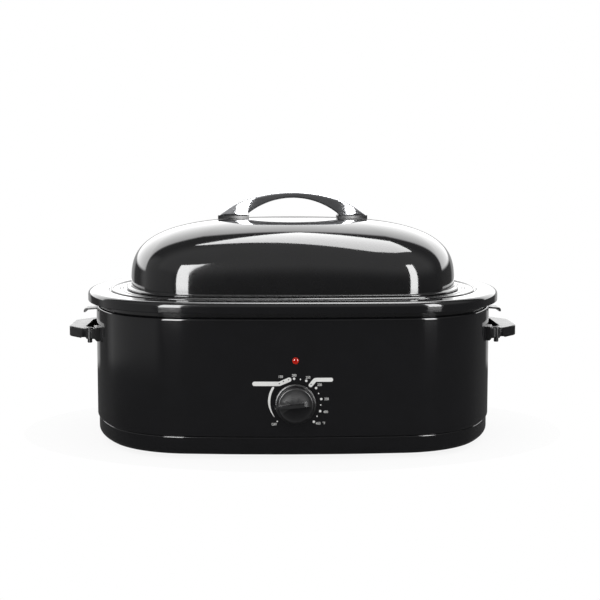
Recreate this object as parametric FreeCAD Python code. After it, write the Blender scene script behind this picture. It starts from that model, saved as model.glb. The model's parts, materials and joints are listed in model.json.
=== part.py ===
import FreeCAD, Part
import math
import os

from FreeCAD import Vector

# Electric roaster oven: an oval heated housing, a lift-out roasting pan and a lift-off domed lid.
# Millimetres, +Z up, front towards -Y. The origin is the middle of the oval on the worktop.

# Driving dimensions

# Oval plan over the casing: two long side arcs, two end arcs and four corner arcs
casing_length = 521.0
casing_depth = 394.0
corner_radius = 119.2
end_radius = 273.0
side_radius = 1409.0

# Heights of the housing
foot_height = 5.0
base_rise = 23.0
casing_rise = 145.0
neck_rise = 6.5
skirt_rise = 13.5

# Sheet thicknesses
base_sheet = 1.2
casing_sheet = 1.0
liner_sheet = 1.0
collar_sheet = 1.2
pan_sheet = 1.2
lid_sheet = 1.2
clip_sheet = 0.8
shield_sheet = 0.8
bracket_sheet = 1.2

# Clearances
seat_gap = 0.3
running_gap = 0.05
hole_gap = 0.2
skin_gap = 0.1

# Base pan, feet and tie posts
base_inset = 1.9
base_bend = 8.0
joint_flange = 10.0
foot_radius = 12.0
foot_stem_radius = 3.9
foot_place = (170.0, 118.0)
post_place = (110.0, 78.0)
post_radius = 4.0
post_shoulder_radius = 7.0
screw_radius = 2.0
screw_head_radius = 4.0
screw_head_height = 2.2
vent_length = 46.0
vent_width = 4.0
vent_pitch = 18.0
vent_rows = 5

# Casing bends
casing_lower_bend = 2.5
casing_upper_bend = 3.0

# Heating well
well_gap = 35.0
well_floor = 37.0
well_corner = 16.0
neck_inset = 4.0

# Rim collar
collar_overhang = 10.7
collar_edge = 6.0
collar_shelf = 16.0
collar_step = 1.7

# Roasting pan
pan_floor = 40.0
pan_corner = 20.0
pan_mouth_inset = 47.2
pan_draft = 11.8
pan_flange_edge = 20.5
pan_bead_radius = 1.3
pan_ridge_inset = 33.5
pan_ridge_width = 5.0
pan_ridge_height = 1.1

# Lid
lid_wall_inset = 46.0
lid_foot_inset = 40.0
lid_bead_radius = 1.6
lid_shoulder = 200.0
lid_crown = 285.5
lid_fullness = 3.0
lid_top_corner_radius = 110.0
lid_top_end_radius = 180.0
lid_top_side_radius = 330.0
lid_rounding = 4.0
dome_sections = 11
dome_last_turn = 87.0

# Lid handle
handle_rise = 34.1
handle_seat_rise = 2.5
handle_half_width = 16.0
handle_straight = 45.0
handle_taper_radius = 92.0
handle_thickness = 8.0
handle_outer_radius = 190.0
handle_shoulder_radius = 110.0
handle_shoulder_angle = 17.4
handle_inner_radius = 95.0
handle_inner_reach = 60.0
handle_pad_overhang = 1.5
handle_screw_place = 75.0
handle_screw_depth = 9.0
washer_radius = 5.5
washer_thickness = 1.0

# Side handles
grip_reach = 34.5
grip_thickness = 13.5
grip_width = 23.0
grip_half_length = 62.0
grip_top = 144.5
grip_edge = 1.5
pad_angle = 14.3
pad_width = 25.0
pad_height = 18.0
pad_thickness = 5.0
peg_radius = 3.0
peg_drop = 5.0
side_screw_angle = 13.0
side_screw_length = 10.0

# Lid rests
rest_top = 166.2
rest_reach = 17.7
rest_width = 26.0
rest_sheet = 2.2
rest_lip = 5.0
rest_root = 15.0

# Knob, thermostat and dial
knob_height = 69.0
knob_radius = 24.7
knob_hub_radius = 22.4
knob_skirt = 3.4
knob_hub_height = 13.5
knob_depth = 20.0
knob_gap = 0.8
knob_wall = 2.4
pointer_angle = 186.0
pointer_reach = 26.5
pointer_tail = 11.5
shaft_radius = 3.0
shaft_flat = 2.2
bushing_radius = 4.8
bushing_length = 14.5
thermostat_half_width = 31.0
thermostat_half_height = 12.0
thermostat_plate = 1.5
channel_half_width = 20.0
channel_depth = 14.0
stat_screw_place = 26.0

# Indicator light
lamp_height = 121.7
lens_radius = 4.6
lens_rise = 3.2
lens_stem_radius = 3.9
lens_stem = 7.0
lamp_radius = 2.5
lamp_length = 14.0

# Heating band, clips and insulation
band_low = 60.0
band_width = 44.0
band_thickness = 2.8
band_gap = 0.2
band_window = 32.0
insulation_thickness = 11.0
insulation_low = 48.0
insulation_top = 165.0
insulation_window = 48.0
insulation_window_top = 107.0
shield_level = 20.0
shield_rim = 13.0
shield_inset = 30.0
clip_width = 12.0
clip_places = 110.0

# Cord gland, terminal block and lead wires
gland_height = 50.0
gland_bore = 4.0
gland_barrel_radius = 8.0
gland_flange_radius = 11.0
gland_nose = 14.0
gland_tail = 6.0
block_place = 48.0
block_width = 30.0
block_height = 14.0
block_depth = 12.0
lead_radius = 1.4
lead_inset = 10.0
lead_level = 36.0
lead_pitch = 4.4

# Roasting rack
rack_inset = 68.0
rack_rise = 15.0
rack_frame_radius = 2.5
rack_wire_radius = 1.6
rack_pitch = 20.0
rack_weld = 0.5
rack_foot_place = 120.0
rack_bend = 8.0
rack_handle_half_length = 42.0
rack_handle_rise = 55.0
rack_handle_lean = 24.0

# Levels and offsets that follow from the driving dimensions

casing_bottom = foot_height + base_rise
casing_top = casing_bottom + casing_rise
collar_bottom = casing_top + neck_rise
collar_top = collar_bottom + skirt_rise
shelf_top = collar_top - collar_step
liner_flange_top = shelf_top - collar_sheet
liner_outer = -casing_sheet - well_gap
flange_low = shelf_top + seat_gap
flange_top = flange_low + pan_sheet
front_face = -casing_depth / 2
band_inner = liner_outer + band_gap
band_outer = band_inner + band_thickness
clip_outer = band_outer + band_gap + clip_sheet
insulation_inner = clip_outer + seat_gap
insulation_outer = insulation_inner + insulation_thickness
base_floor_top = foot_height + base_sheet
handle_top = lid_crown + handle_rise
handle_seat = lid_crown + handle_seat_rise
up = Vector(0, 0, 1)


def plan_arcs(half_length, half_depth, corner_radius, end_radius, side_radius):
    """Eight arcs of an oval as (centre, radius, first angle, last angle), from the right end round."""
    side_centre = Vector(0, half_depth - side_radius, 0)
    end_centre = Vector(half_length - end_radius, 0, 0)
    side_reach = side_radius - corner_radius
    end_reach = end_radius - corner_radius
    line = end_centre - side_centre
    span = line.Length
    line.normalize()
    along = (side_reach ** 2 - end_reach ** 2 + span ** 2) / (2 * span)
    across = math.sqrt(side_reach ** 2 - along ** 2)
    corner = side_centre + line * along + Vector(line.y, -line.x, 0) * across
    to_side = corner - side_centre
    to_end = corner - end_centre
    side_turn = math.degrees(math.atan2(to_side.y, to_side.x))
    end_turn = math.degrees(math.atan2(to_end.y, to_end.x))
    x, y = corner.x, corner.y
    return [
        (end_centre, end_radius, -end_turn, end_turn),
        (corner, corner_radius, end_turn, side_turn),
        (side_centre, side_radius, side_turn, 180 - side_turn),
        (Vector(-x, y, 0), corner_radius, 180 - side_turn, 180 - end_turn),
        (Vector(-end_centre.x, 0, 0), end_radius, 180 - end_turn, 180 + end_turn),
        (Vector(-x, -y, 0), corner_radius, 180 + end_turn, 180 + side_turn),
        (Vector(0, -side_centre.y, 0), side_radius, 180 + side_turn, 360 - side_turn),
        (Vector(x, -y, 0), corner_radius, 360 - side_turn, 360 - end_turn),
    ]


PLAN = plan_arcs(casing_length / 2, casing_depth / 2, corner_radius, end_radius, side_radius)
RIGHT, BACK, LEFT, FRONT = PLAN[0], PLAN[2], PLAN[4], PLAN[6]


def polar(centre, radius, angle, z=0.0):
    """Point at a radius and an angle round a centre."""
    turn = math.radians(angle)
    return Vector(centre.x + radius * math.cos(turn), centre.y + radius * math.sin(turn), z)


def plan_wire(offset, z, arcs=PLAN):
    """Oval outline at a parallel offset and one height."""
    edges = []
    for centre, radius, first, last in arcs:
        points = [polar(centre, radius + offset, angle, z) for angle in (first, (first + last) / 2, last)]
        edges.append(Part.Arc(*points).toShape())
    return Part.Wire(edges)


def plan_slab(offset, low, high):
    """Flat oval plate between two heights."""
    return Part.Face(plan_wire(offset, low)).extrude(up * (high - low))


def plan_half_depth(x, offset):
    """Half depth of the offset oval at a distance x from its middle."""
    for centre, radius, first, last in PLAN[:3]:
        reach = (radius + offset) ** 2 - (x - centre.x) ** 2
        if reach < 0:
            continue
        y = centre.y + math.sqrt(reach)
        angle = math.degrees(math.atan2(y - centre.y, x - centre.x))
        if first - 0.01 <= angle <= last + 0.01:
            return y
    return 0.0


def fuse(solids):
    """One solid from pieces that meet."""
    return solids[0].multiFuse(solids[1:]).removeSplitter()


def rounded_face(points, place):
    """Face inside a closed outline of corners (u, v, radius), each rounded by a tangent arc."""
    corners = []
    for index, point in enumerate(points):
        here = Vector(point[0], point[1], 0)
        radius = point[2] if len(point) > 2 else 0.0
        if radius <= 0:
            corners.append((here, None, here))
            continue
        before = Vector(*points[index - 1][:2], 0) - here
        after = Vector(*points[(index + 1) % len(points)][:2], 0) - here
        before.normalize()
        after.normalize()
        half = before.getAngle(after) / 2
        inward = before + after
        inward.normalize()
        reach = radius / math.tan(half)
        middle = here + inward * (radius / math.sin(half) - radius)
        corners.append((here + before * reach, middle, here + after * reach))
    edges = []
    for index, (start, middle, end) in enumerate(corners):
        if middle:
            spots = [place(spot.x, spot.y) for spot in (start, middle, end)]
            edges.append(Part.Arc(*spots).toShape())
        following = corners[(index + 1) % len(corners)][0]
        if (following - end).Length > 1e-6:
            edges.append(Part.makeLine(place(end.x, end.y), place(following.x, following.y)))
    return Part.Face(Part.Wire(edges))


def bent_sheet(path, thickness):
    """Closed outline of a bent sheet: corners (u, v, bend radius), and the same one thickness to the left."""
    far = []
    last = len(path) - 1
    for index, corner in enumerate(path):
        here = Vector(corner[0], corner[1], 0)
        radius = corner[2] if len(corner) > 2 else 0.0
        before = here - Vector(*path[max(index - 1, 0)][:2], 0)
        after = Vector(*path[min(index + 1, last)][:2], 0) - here
        before = before if before.Length > 0 else after
        after = after if after.Length > 0 else before
        before.normalize()
        after.normalize()
        left_before = Vector(-before.y, before.x, 0)
        left_after = Vector(-after.y, after.x, 0)
        shift = (left_before + left_after) * (thickness / (1 + left_before.dot(left_after)))
        turn = before.cross(after).z
        far_radius = 0.0
        if radius > 0:
            far_radius = max(radius - math.copysign(thickness, turn), 0.0)
        far.append((here.x + shift.x, here.y + shift.y, far_radius))
    return list(path) + far[::-1]


def upright_place(arc, angle):
    """Maps (offset, z) of a profile into the upright plane at one angle of a plan arc."""
    centre, radius = arc[0], arc[1]
    return lambda offset, z: polar(centre, radius + offset, angle, z)


def ring(points, arcs=PLAN):
    """Profile of (offset, z, corner radius) carried round the oval or some of its arcs, exact on every arc."""
    sectors = []
    for arc in arcs:
        face = rounded_face(points, upright_place(arc, arc[2]))
        sectors.append(face.revolve(arc[0], up, arc[3] - arc[2]))
    return fuse(sectors)


def panel_arcs(index):
    """A side or end arc, with half of the corner arc before it and half of the one after it."""
    before, arc, after = PLAN[index - 1], PLAN[index], PLAN[index + 1]
    first = (before[0], before[1], (before[2] + before[3]) / 2, before[3])
    last = (after[0], after[1], after[2], (after[2] + after[3]) / 2)
    return [first, arc, last]


def bead(offset, z, radius):
    """Round bar carried round the whole oval."""
    sectors = []
    for arc in PLAN:
        centre = polar(arc[0], arc[1] + offset, arc[2], z)
        along = polar(Vector(), 1, arc[2] + 90)
        face = Part.Face(Part.Wire(Part.Circle(centre, along, radius).toShape()))
        sectors.append(face.revolve(arc[0], up, arc[3] - arc[2]))
    return fuse(sectors)


def patch(points, arc, angle, width):
    """Profile of (offset, z, corner radius) carried a short width along one plan arc."""
    half = math.degrees(width / 2 / arc[1])
    face = rounded_face(points, upright_place(arc, angle - half))
    return face.revolve(arc[0], up, 2 * half)


def box(x, y, z):
    """Block between (low, high) pairs."""
    return Part.makeBox(x[1] - x[0], y[1] - y[0], z[1] - z[0], Vector(x[0], y[0], z[0]))


def rectangle(low, high, bottom, top):
    """Corners of an upright rectangle."""
    return [(low, bottom), (high, bottom), (high, top), (low, top)]


def turned(points, base, axis):
    """Solid of revolution: corners (radius, height along the axis, corner radius) about a line."""
    side = Vector(1, 0, 0) if abs(axis.x) < 0.9 else Vector(0, 0, 1)
    side = (side - axis * side.dot(axis))
    side.normalize()
    face = rounded_face(points, lambda r, h: base + side * r + axis * h)
    return face.revolve(base, axis, 360)


def tube(centre, along, radius, moves):
    """Round wire from a start point: each move is a straight run (vector) or a turn (centre, axis, degrees)."""
    face = Part.Face(Part.Wire(Part.Circle(centre, along, radius).toShape()))
    pieces = []
    for move in moves:
        if isinstance(move, Vector):
            pieces.append(face.extrude(move))
            face = face.translated(move)
        else:
            pieces.append(face.revolve(*move))
            face = face.rotated(*move)
    return fuse(pieces)


def mirrored(x, y):
    """The four places that mirror one place in both directions."""
    return [(x, y), (-x, y), (-x, -y), (x, -y)]


# Housing

def base_pan():
    """Pressed bottom cover with a rounded lower edge, vents and holes for feet and screws."""
    edge = -base_inset - base_bend - 4
    path = [
        (edge, foot_height),
        (-base_inset, foot_height, base_bend),
        (-base_inset, casing_bottom, base_sheet + 0.6),
        (-base_inset - joint_flange, casing_bottom),
    ]
    shell = fuse([ring(bent_sheet(path, base_sheet)), plan_slab(edge, foot_height, base_floor_top)])
    cuts = []
    for place, radius in ((foot_place, foot_stem_radius), (post_place, screw_radius)):
        for x, y in mirrored(*place):
            start = Vector(x, y, foot_height - base_sheet)
            cuts.append(Part.makeCylinder(radius + hole_gap, base_sheet * 3, start))
    for row in range(vent_rows):
        y = (row - (vent_rows - 1) / 2) * vent_pitch
        half = vent_width / 2
        for side in (-1, 1):
            middle = side * vent_length
            ends = (middle - vent_length / 2 + half + 1, middle + vent_length / 2 - half - 1)
            points = [
                (ends[0] - half, y - half, half * 0.99),
                (ends[1] + half, y - half, half * 0.99),
                (ends[1] + half, y + half, half * 0.99),
                (ends[0] - half, y + half, half * 0.99),
            ]
            face = rounded_face(points, lambda u, v: Vector(u, v, foot_height - base_sheet))
            cuts.append(face.extrude(up * base_sheet * 3))
    return shell.cut(cuts)


def rubber_feet():
    """Four push-in feet: pad below the base, stem through it and a bulb above."""
    feet = []
    for x, y in mirrored(*foot_place):
        points = [
            (0, 0),
            (foot_radius - 1, 0, 1),
            (foot_radius, foot_height, 0.5),
            (foot_stem_radius, foot_height),
            (foot_stem_radius, base_floor_top),
            (foot_stem_radius * 1.45, base_floor_top, 0.6),
            (foot_stem_radius * 0.8, base_floor_top + 3),
            (0, base_floor_top + 3),
        ]
        feet.append(turned(points, Vector(x, y, 0), up))
    return Part.makeCompound(feet)


def screw(tip, axis, length, head_radius=screw_head_radius):
    """Pan-head screw whose head starts at tip + length along the axis."""
    points = [
        (0, 0),
        (screw_radius * 0.6, 0),
        (screw_radius, screw_radius * 0.8),
        (screw_radius, length),
        (head_radius, length),
        (head_radius, length + screw_head_height, screw_head_height * 0.6),
        (0, length + screw_head_height),
    ]
    body = turned(points, tip, axis)
    side = Vector(1, 0, 0) if abs(axis.x) < 0.9 else Vector(0, 0, 1)
    side = side - axis * side.dot(axis)
    side.normalize()
    top = tip + axis * (length + screw_head_height)
    slot = rounded_face(
        [(-head_radius, -0.45), (head_radius, -0.45), (head_radius, 0.45), (-head_radius, 0.45)],
        lambda u, v: top + side * u + axis.cross(side) * v,
    )
    return body.cut(slot.extrude(axis * (-screw_head_height * 0.5)))


def tie_posts():
    """Four posts from the well floor to the base, with a shoulder that carries the heat shield."""
    posts = []
    for x, y in mirrored(*post_place):
        points = [
            (0, base_floor_top),
            (post_shoulder_radius, base_floor_top),
            (post_shoulder_radius, shield_level),
            (post_radius, shield_level),
            (post_radius, well_floor),
            (0, well_floor),
        ]
        post = turned(points, Vector(x, y, 0), up)
        depth = well_floor - base_floor_top - 8
        bore = Part.makeCylinder(screw_radius + running_gap, depth, Vector(x, y, base_floor_top))
        posts.append(post.cut(bore))
    return Part.makeCompound(posts)


def base_screws():
    """Four screws through the base into the tie posts."""
    length = base_sheet + 16
    tips = [Vector(x, y, foot_height + length) for x, y in mirrored(*post_place)]
    return Part.makeCompound([screw(tip, -up, length) for tip in tips])


def heat_shield():
    """Shallow tray under the well that turns the heat back up."""
    edge = -shield_inset - 6
    path = [
        (edge, shield_level),
        (-shield_inset, shield_level, 3),
        (-shield_inset, shield_level + shield_rim),
    ]
    plate = plan_slab(edge, shield_level, shield_level + shield_sheet)
    tray = fuse([ring(bent_sheet(path, shield_sheet)), plate])
    holes = []
    for x, y in mirrored(*post_place):
        start = Vector(x, y, shield_level - shield_sheet)
        holes.append(Part.makeCylinder(post_radius + hole_gap, shield_sheet * 3, start))
    return tray.cut(holes)


def side_screw_line(side, end):
    """Start on the casing wall and outward direction of one side-handle screw."""
    arc = RIGHT if side > 0 else LEFT
    middle = 0 if side > 0 else 180
    angle = middle + end * side_screw_angle
    height = grip_top - grip_thickness / 2
    return polar(arc[0], arc[1], angle, height), polar(Vector(), 1, angle)


def outer_casing():
    """Oval steel wall in four panels that meet in the corners, with turned-in flanges above and below."""
    path = [
        (-joint_flange, casing_bottom),
        (0, casing_bottom, casing_lower_bend),
        (0, casing_top, casing_upper_bend),
        (-joint_flange, casing_top),
    ]
    panels = [ring(bent_sheet(path, casing_sheet), panel_arcs(index)) for index in (0, 2, 4, 6)]
    through = casing_sheet * 6
    front = Vector(0, front_face - through / 2, 0)
    ahead = Vector(0, 1, 0)
    cuts = [
        Part.makeCylinder(bushing_radius + 1, through, front + up * knob_height, ahead),
        Part.makeCylinder(lens_stem_radius + hole_gap / 2, through, front + up * lamp_height, ahead),
        Part.makeCylinder(gland_barrel_radius, through, Vector(0, -front_face - through / 2, gland_height), ahead),
    ]
    for side in (-1, 1):
        for end in (-1, 1):
            start, outward = side_screw_line(side, end)
            cuts.append(Part.makeCylinder(screw_radius + hole_gap, through, start - outward * through / 2, outward))
        slot_height = (rest_top - rest_sheet - hole_gap, rest_top + hole_gap)
        slot_depth = rest_width / 2 + hole_gap
        middle = side * casing_length / 2
        cuts.append(box((middle - through / 2, middle + through / 2), (-slot_depth, slot_depth), slot_height))
    return Part.makeCompound([panel.cut(cuts) for panel in panels])


def well_liner():
    """Deep oval heating well, with a flange that turns down onto the casing."""
    edge = liner_outer - well_corner - 1
    path = [
        (edge, well_floor),
        (liner_outer, well_floor, well_corner),
        (liner_outer, liner_flange_top - liner_sheet, 2),
        (-neck_inset - liner_sheet, liner_flange_top - liner_sheet, 1.5),
        (-neck_inset - liner_sheet, casing_top),
    ]
    return fuse([ring(bent_sheet(path, liner_sheet)), plan_slab(edge, well_floor, well_floor + liner_sheet)])


def rim_collar():
    """Broad rim: a rounded skirt outside and a recessed shelf for the pan inside."""
    path = [
        (collar_overhang, collar_bottom),
        (collar_overhang, collar_top, collar_edge),
        (-collar_shelf, collar_top, 2),
        (-collar_shelf - collar_step, shelf_top, 2),
        (liner_outer + 3, shelf_top),
    ]
    return ring(bent_sheet(path, collar_sheet))


# Heating

def heating_band():
    """Flat wrap-round element with a gap at the front and a spade terminal beside it."""
    band = ring(rectangle(band_inner, band_outer, band_low, band_low + band_width))
    window = box((-band_window, band_window), (front_face, 0), (0, collar_top))
    band = band.cut(window)
    terminals = []
    level = band_low + band_width * 0.7
    for side in (-1, 1):
        angle = 270 + side * math.degrees((band_window + 5) / side_radius)
        points = rectangle(band_outer - 1, band_outer + 10, level - 0.4, level + 0.4)
        terminals.append(patch(points, FRONT, angle, 6.3))
    return fuse([band] + terminals)


def band_clips():
    """Six hat-shaped clips that hold the band to the well."""
    top = band_low + band_width + band_gap * 5
    low = band_low - band_gap * 5
    foot = 8
    path = [
        (band_inner - band_gap / 2, top + foot),
        (band_inner - band_gap / 2, top),
        (band_outer + band_gap, top),
        (band_outer + band_gap, low),
        (band_inner - band_gap / 2, low),
        (band_inner - band_gap / 2, low - foot),
    ]
    points = bent_sheet(path, clip_sheet)
    turn = math.degrees(clip_places / side_radius)
    places = [(RIGHT, 0), (LEFT, 180)]
    for step in (-turn, turn):
        places += [(BACK, 90 + step), (FRONT, 270 + step)]
    return Part.makeCompound([patch(points, arc, angle, clip_width) for arc, angle in places])


def insulation_blanket():
    """Glass-fibre wrap round the band, open at the front for the thermostat."""
    wrap = ring(rectangle(insulation_inner, insulation_outer, insulation_low, insulation_top))
    window = box((-insulation_window, insulation_window), (front_face, 0), (0, insulation_window_top))
    return wrap.cut(window)


# Thermostat and knob, on a line through the casing front

well_front = front_face - liner_outer
channel_back = well_front - band_gap / 2 - bracket_sheet
ear_face = channel_back - channel_depth
plate_face = ear_face - thermostat_plate
bushing_end = plate_face - bushing_length


def thermostat_bracket():
    """Hat channel welded to the well, with an ear each side for the thermostat."""
    outer = thermostat_half_width
    path = [
        (-outer, ear_face),
        (-channel_half_width, ear_face),
        (-channel_half_width, channel_back),
        (channel_half_width, channel_back),
        (channel_half_width, ear_face),
        (outer, ear_face),
    ]
    low = knob_height - thermostat_half_height
    face = rounded_face(bent_sheet(path, bracket_sheet), lambda u, v: Vector(u, v, low))
    channel = face.extrude(up * thermostat_half_height * 2)
    holes = []
    for side in (-1, 1):
        place = Vector(side * stat_screw_place, ear_face - 1, knob_height)
        holes.append(Part.makeCylinder(screw_radius + running_gap, bracket_sheet * 3, place, Vector(0, 1, 0)))
    return channel.cut(holes)


def thermostat_body():
    """Mounting plate, ceramic stack behind it, threaded bushing ahead and two spade terminals."""
    wide, tall = thermostat_half_width, thermostat_half_height
    plate = box((-wide, wide), (plate_face, ear_face), (knob_height - tall, knob_height + tall))
    stack = []
    layers = 3
    depth = (channel_depth - 3) / layers
    for layer in range(layers):
        half = channel_half_width - 3 - layer % 2
        near = ear_face + layer * depth
        stack.append(box((-half, half), (near, near + depth), (knob_height - tall + 2, knob_height + tall - 1)))
    ahead = Vector(0, 1, 0)
    bushing_start = Vector(0, bushing_end, knob_height)
    bushing = Part.makeCylinder(bushing_radius, bushing_length, bushing_start, ahead)
    terminals = []
    for side in (-1, 1):
        near = ear_face + depth * 1.2
        x = side * channel_half_width / 2
        terminals.append(box((x - 3.1, x + 3.1), (near, near + 0.8), (knob_height, knob_height + tall + 8)))
    body = fuse([plate, bushing] + stack + terminals)
    cuts = [Part.makeCylinder(shaft_radius + running_gap, bushing_length, bushing_start, ahead)]
    for side in (-1, 1):
        place = Vector(side * stat_screw_place, plate_face - 1, knob_height)
        cuts.append(Part.makeCylinder(screw_radius + running_gap, thermostat_plate * 3, place, ahead))
    return body.cut(cuts)


def thermostat_screws():
    """Two screws through the thermostat plate and the bracket ears."""
    length = thermostat_plate + bracket_sheet + 4
    screws = []
    for side in (-1, 1):
        tip = Vector(side * stat_screw_place, plate_face + length, knob_height)
        screws.append(screw(tip, Vector(0, -1, 0), length))
    return Part.makeCompound(screws)


pointer = polar(Vector(), 1, pointer_angle)
pointer = Vector(pointer.x, 0, pointer.y)
across_pointer = Vector(-pointer.z, 0, pointer.x)
knob_axis = Vector(0, -1, 0)
knob_base = Vector(0, front_face, knob_height)


def d_section(radius, flat, start, length):
    """D-shaped bar along the knob axis, its flat turned away from the pointer."""
    round_bar = Part.makeCylinder(radius, length, knob_base + knob_axis * start, knob_axis)
    size = radius * 4
    face = rounded_face(
        rectangle(-size, -flat, -size, size),
        lambda u, v: knob_base + knob_axis * start + pointer * u + across_pointer * v,
    )
    return round_bar.cut(face.extrude(knob_axis * length))


shaft_top = knob_hub_height - 2


def thermostat_shaft():
    """Round spindle in the bushing, with a flat where the knob grips it."""
    start = front_face - (bushing_end + bushing_length - 1)
    shoulder = knob_gap - hole_gap
    round_part = Part.makeCylinder(shaft_radius, shoulder - start, knob_base + knob_axis * start, knob_axis)
    flat_part = d_section(shaft_radius, shaft_flat, shoulder, shaft_top - shoulder)
    return fuse([round_part, flat_part])


def control_knob():
    """Skirted knob, hollow behind, with a tapered finger bar that points at the dial."""
    points = [
        (0, knob_gap),
        (knob_radius, knob_gap),
        (knob_radius, knob_skirt, 0.9),
        (knob_hub_radius, knob_skirt + 0.8),
        (knob_hub_radius - 1, knob_hub_height, 2),
        (0, knob_hub_height + 0.8),
    ]
    body = turned(points, knob_base, knob_axis)

    def outline(shape, height):
        corners = [knob_base + pointer * u + across_pointer * v + knob_axis * height for u, v in shape]
        return Part.makePolygon(corners + corners[:1])

    foot = [
        (-pointer_tail, -5),
        (6, -4.6),
        (pointer_reach, -1.6),
        (pointer_reach, 1.6),
        (6, 4.6),
        (-pointer_tail, 5),
    ]
    crest = [
        (1.5 - pointer_tail, -2),
        (6, -1.7),
        (pointer_reach - 2, -0.8),
        (pointer_reach - 2, 0.8),
        (6, 1.7),
        (1.5 - pointer_tail, 2),
    ]
    bar = Part.makeLoft([outline(foot, knob_skirt - 0.6), outline(crest, knob_depth)], True, True)
    inner = knob_hub_radius - 1 - knob_wall
    hollow = turned(
        [
            (shaft_radius + 2.5, knob_gap - 1),
            (inner, knob_gap - 1),
            (inner, knob_hub_height - knob_wall, 1),
            (shaft_radius + 2.5, knob_hub_height - knob_wall),
        ],
        knob_base,
        knob_axis,
    )
    bore = d_section(shaft_radius + running_gap, shaft_flat + running_gap, knob_gap - 1, shaft_top + 0.2 - knob_gap + 1)
    return fuse([body, bar]).cut([hollow, bore])


# Indicator light

lamp_base = Vector(0, front_face, lamp_height)


def indicator_lens():
    """Domed jewel with a stem through the casing."""
    points = [
        (0, -lens_stem),
        (lens_stem_radius, -lens_stem),
        (lens_stem_radius, 0.1),
        (lens_radius, 0.1),
        (lens_radius, 1.2, 0.4),
        (lens_radius * 0.62, lens_rise - 0.4, 1.2),
        (0, lens_rise),
    ]
    body = turned(points, lamp_base, knob_axis)
    bore_start = lamp_base - knob_axis * lens_stem
    return body.cut(Part.makeCylinder(lamp_radius + seat_gap, lens_stem - 0.5, bore_start, knob_axis))


def indicator_lamp():
    """Small glass tube with a rounded nose and two pins."""
    tip = -0.5 - seat_gap
    points = [
        (0, tip - lamp_length),
        (lamp_radius, tip - lamp_length, 0.4),
        (lamp_radius, tip, lamp_radius * 0.7),
        (0, tip),
    ]
    glass = turned(points, lamp_base, knob_axis)
    pins = []
    for side in (-1, 1):
        start = lamp_base + Vector(side * 1.1, 0, 0) + knob_axis * (tip - lamp_length - 4)
        pins.append(Part.makeCylinder(0.4, 5, start, knob_axis))
    return fuse([glass] + pins)


def lens_clip():
    """Push-on washer that holds the lens stem behind the casing."""
    inner = lens_stem_radius + running_gap
    points = [
        (inner, -casing_sheet - 0.1),
        (inner + 3, -casing_sheet - 0.1),
        (inner + 3, -casing_sheet - 0.7),
        (inner, -casing_sheet - 1.1),
    ]
    return turned(points, lamp_base, knob_axis)


# Mains inlet

def cord_gland():
    """Tapered cord bushing, clipped through the back wall."""
    points = [
        (gland_bore, -gland_tail),
        (gland_barrel_radius + 1.2, -gland_tail, 1),
        (gland_barrel_radius + 1.2, -casing_sheet - 0.1),
        (gland_barrel_radius - running_gap, -casing_sheet - 0.1),
        (gland_barrel_radius - running_gap, 0.1),
        (gland_flange_radius, 0.1),
        (gland_flange_radius, 3, 1),
        (gland_bore + 4, 3),
        (gland_bore + 2.2, gland_nose, 1),
        (gland_bore, gland_nose),
    ]
    return turned(points, Vector(0, -front_face, gland_height), Vector(0, 1, 0))


def block_angle():
    """Angle of the terminal block on the back wall."""
    return 90 + math.degrees(block_place / side_radius)


def terminal_block():
    """Two-way terminal block on the inside of the back wall."""
    high = gland_height + block_height / 2
    face = -casing_sheet - 0.1
    points = [
        (face, high),
        (face, high - block_height),
        (face - block_depth, high - block_height),
        (face - block_depth, high - 3),
        (face - block_depth + 3, high),
    ]
    block = patch(points, BACK, block_angle(), block_width)
    wells = []
    for step in (-1, 1):
        angle = block_angle() + math.degrees(step * block_width / 4 / side_radius)
        spot = polar(BACK[0], BACK[1] + face - block_depth / 2, angle, high - 8)
        wells.append(Part.makeCylinder(2.4, 10, spot))
    return block.cut(wells)


def lead_wires():
    """Two insulated leads that run round the casing from the terminal block to the thermostat side."""
    leads = []
    arc_offset = -casing_sheet - lead_inset
    rise = gland_height - block_height / 2 - 0.1
    bend = 5.0
    for index, end in enumerate((1, -1)):
        level = lead_level - index * lead_pitch
        start = block_angle() + math.degrees(end * block_width / 4 / side_radius)
        foot = polar(BACK[0], BACK[1] + arc_offset, start, level)
        down = level + bend - rise
        outward = polar(Vector(), 1, start)
        moves = [up * down]
        moves.append((foot + polar(Vector(), bend, start + 90, bend), outward, 90))
        swing = math.degrees(bend / (side_radius + arc_offset))
        moves.append((BACK[0], up, BACK[3] - start - swing))
        for arc in PLAN[3:6]:
            moves.append((arc[0], up, arc[3] - arc[2]))
        finish = 270 - math.degrees((24 - index * 8) / side_radius)
        moves.append((FRONT[0], up, finish - FRONT[2]))
        last = polar(FRONT[0], FRONT[1] + arc_offset, finish, level)
        moves.append((last + up * bend, polar(Vector(), 1, finish + 180), -90))
        moves.append(up * (knob_height - thermostat_half_height - 2 - level - bend))
        leads.append(tube(foot + up * (bend - down), up * -1, lead_radius, moves))
    return Part.makeCompound(leads)


# Side handles and lid rests

def to_left(shape):
    """The same piece at the left end."""
    return shape.mirror(Vector(), Vector(1, 0, 0))


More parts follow.
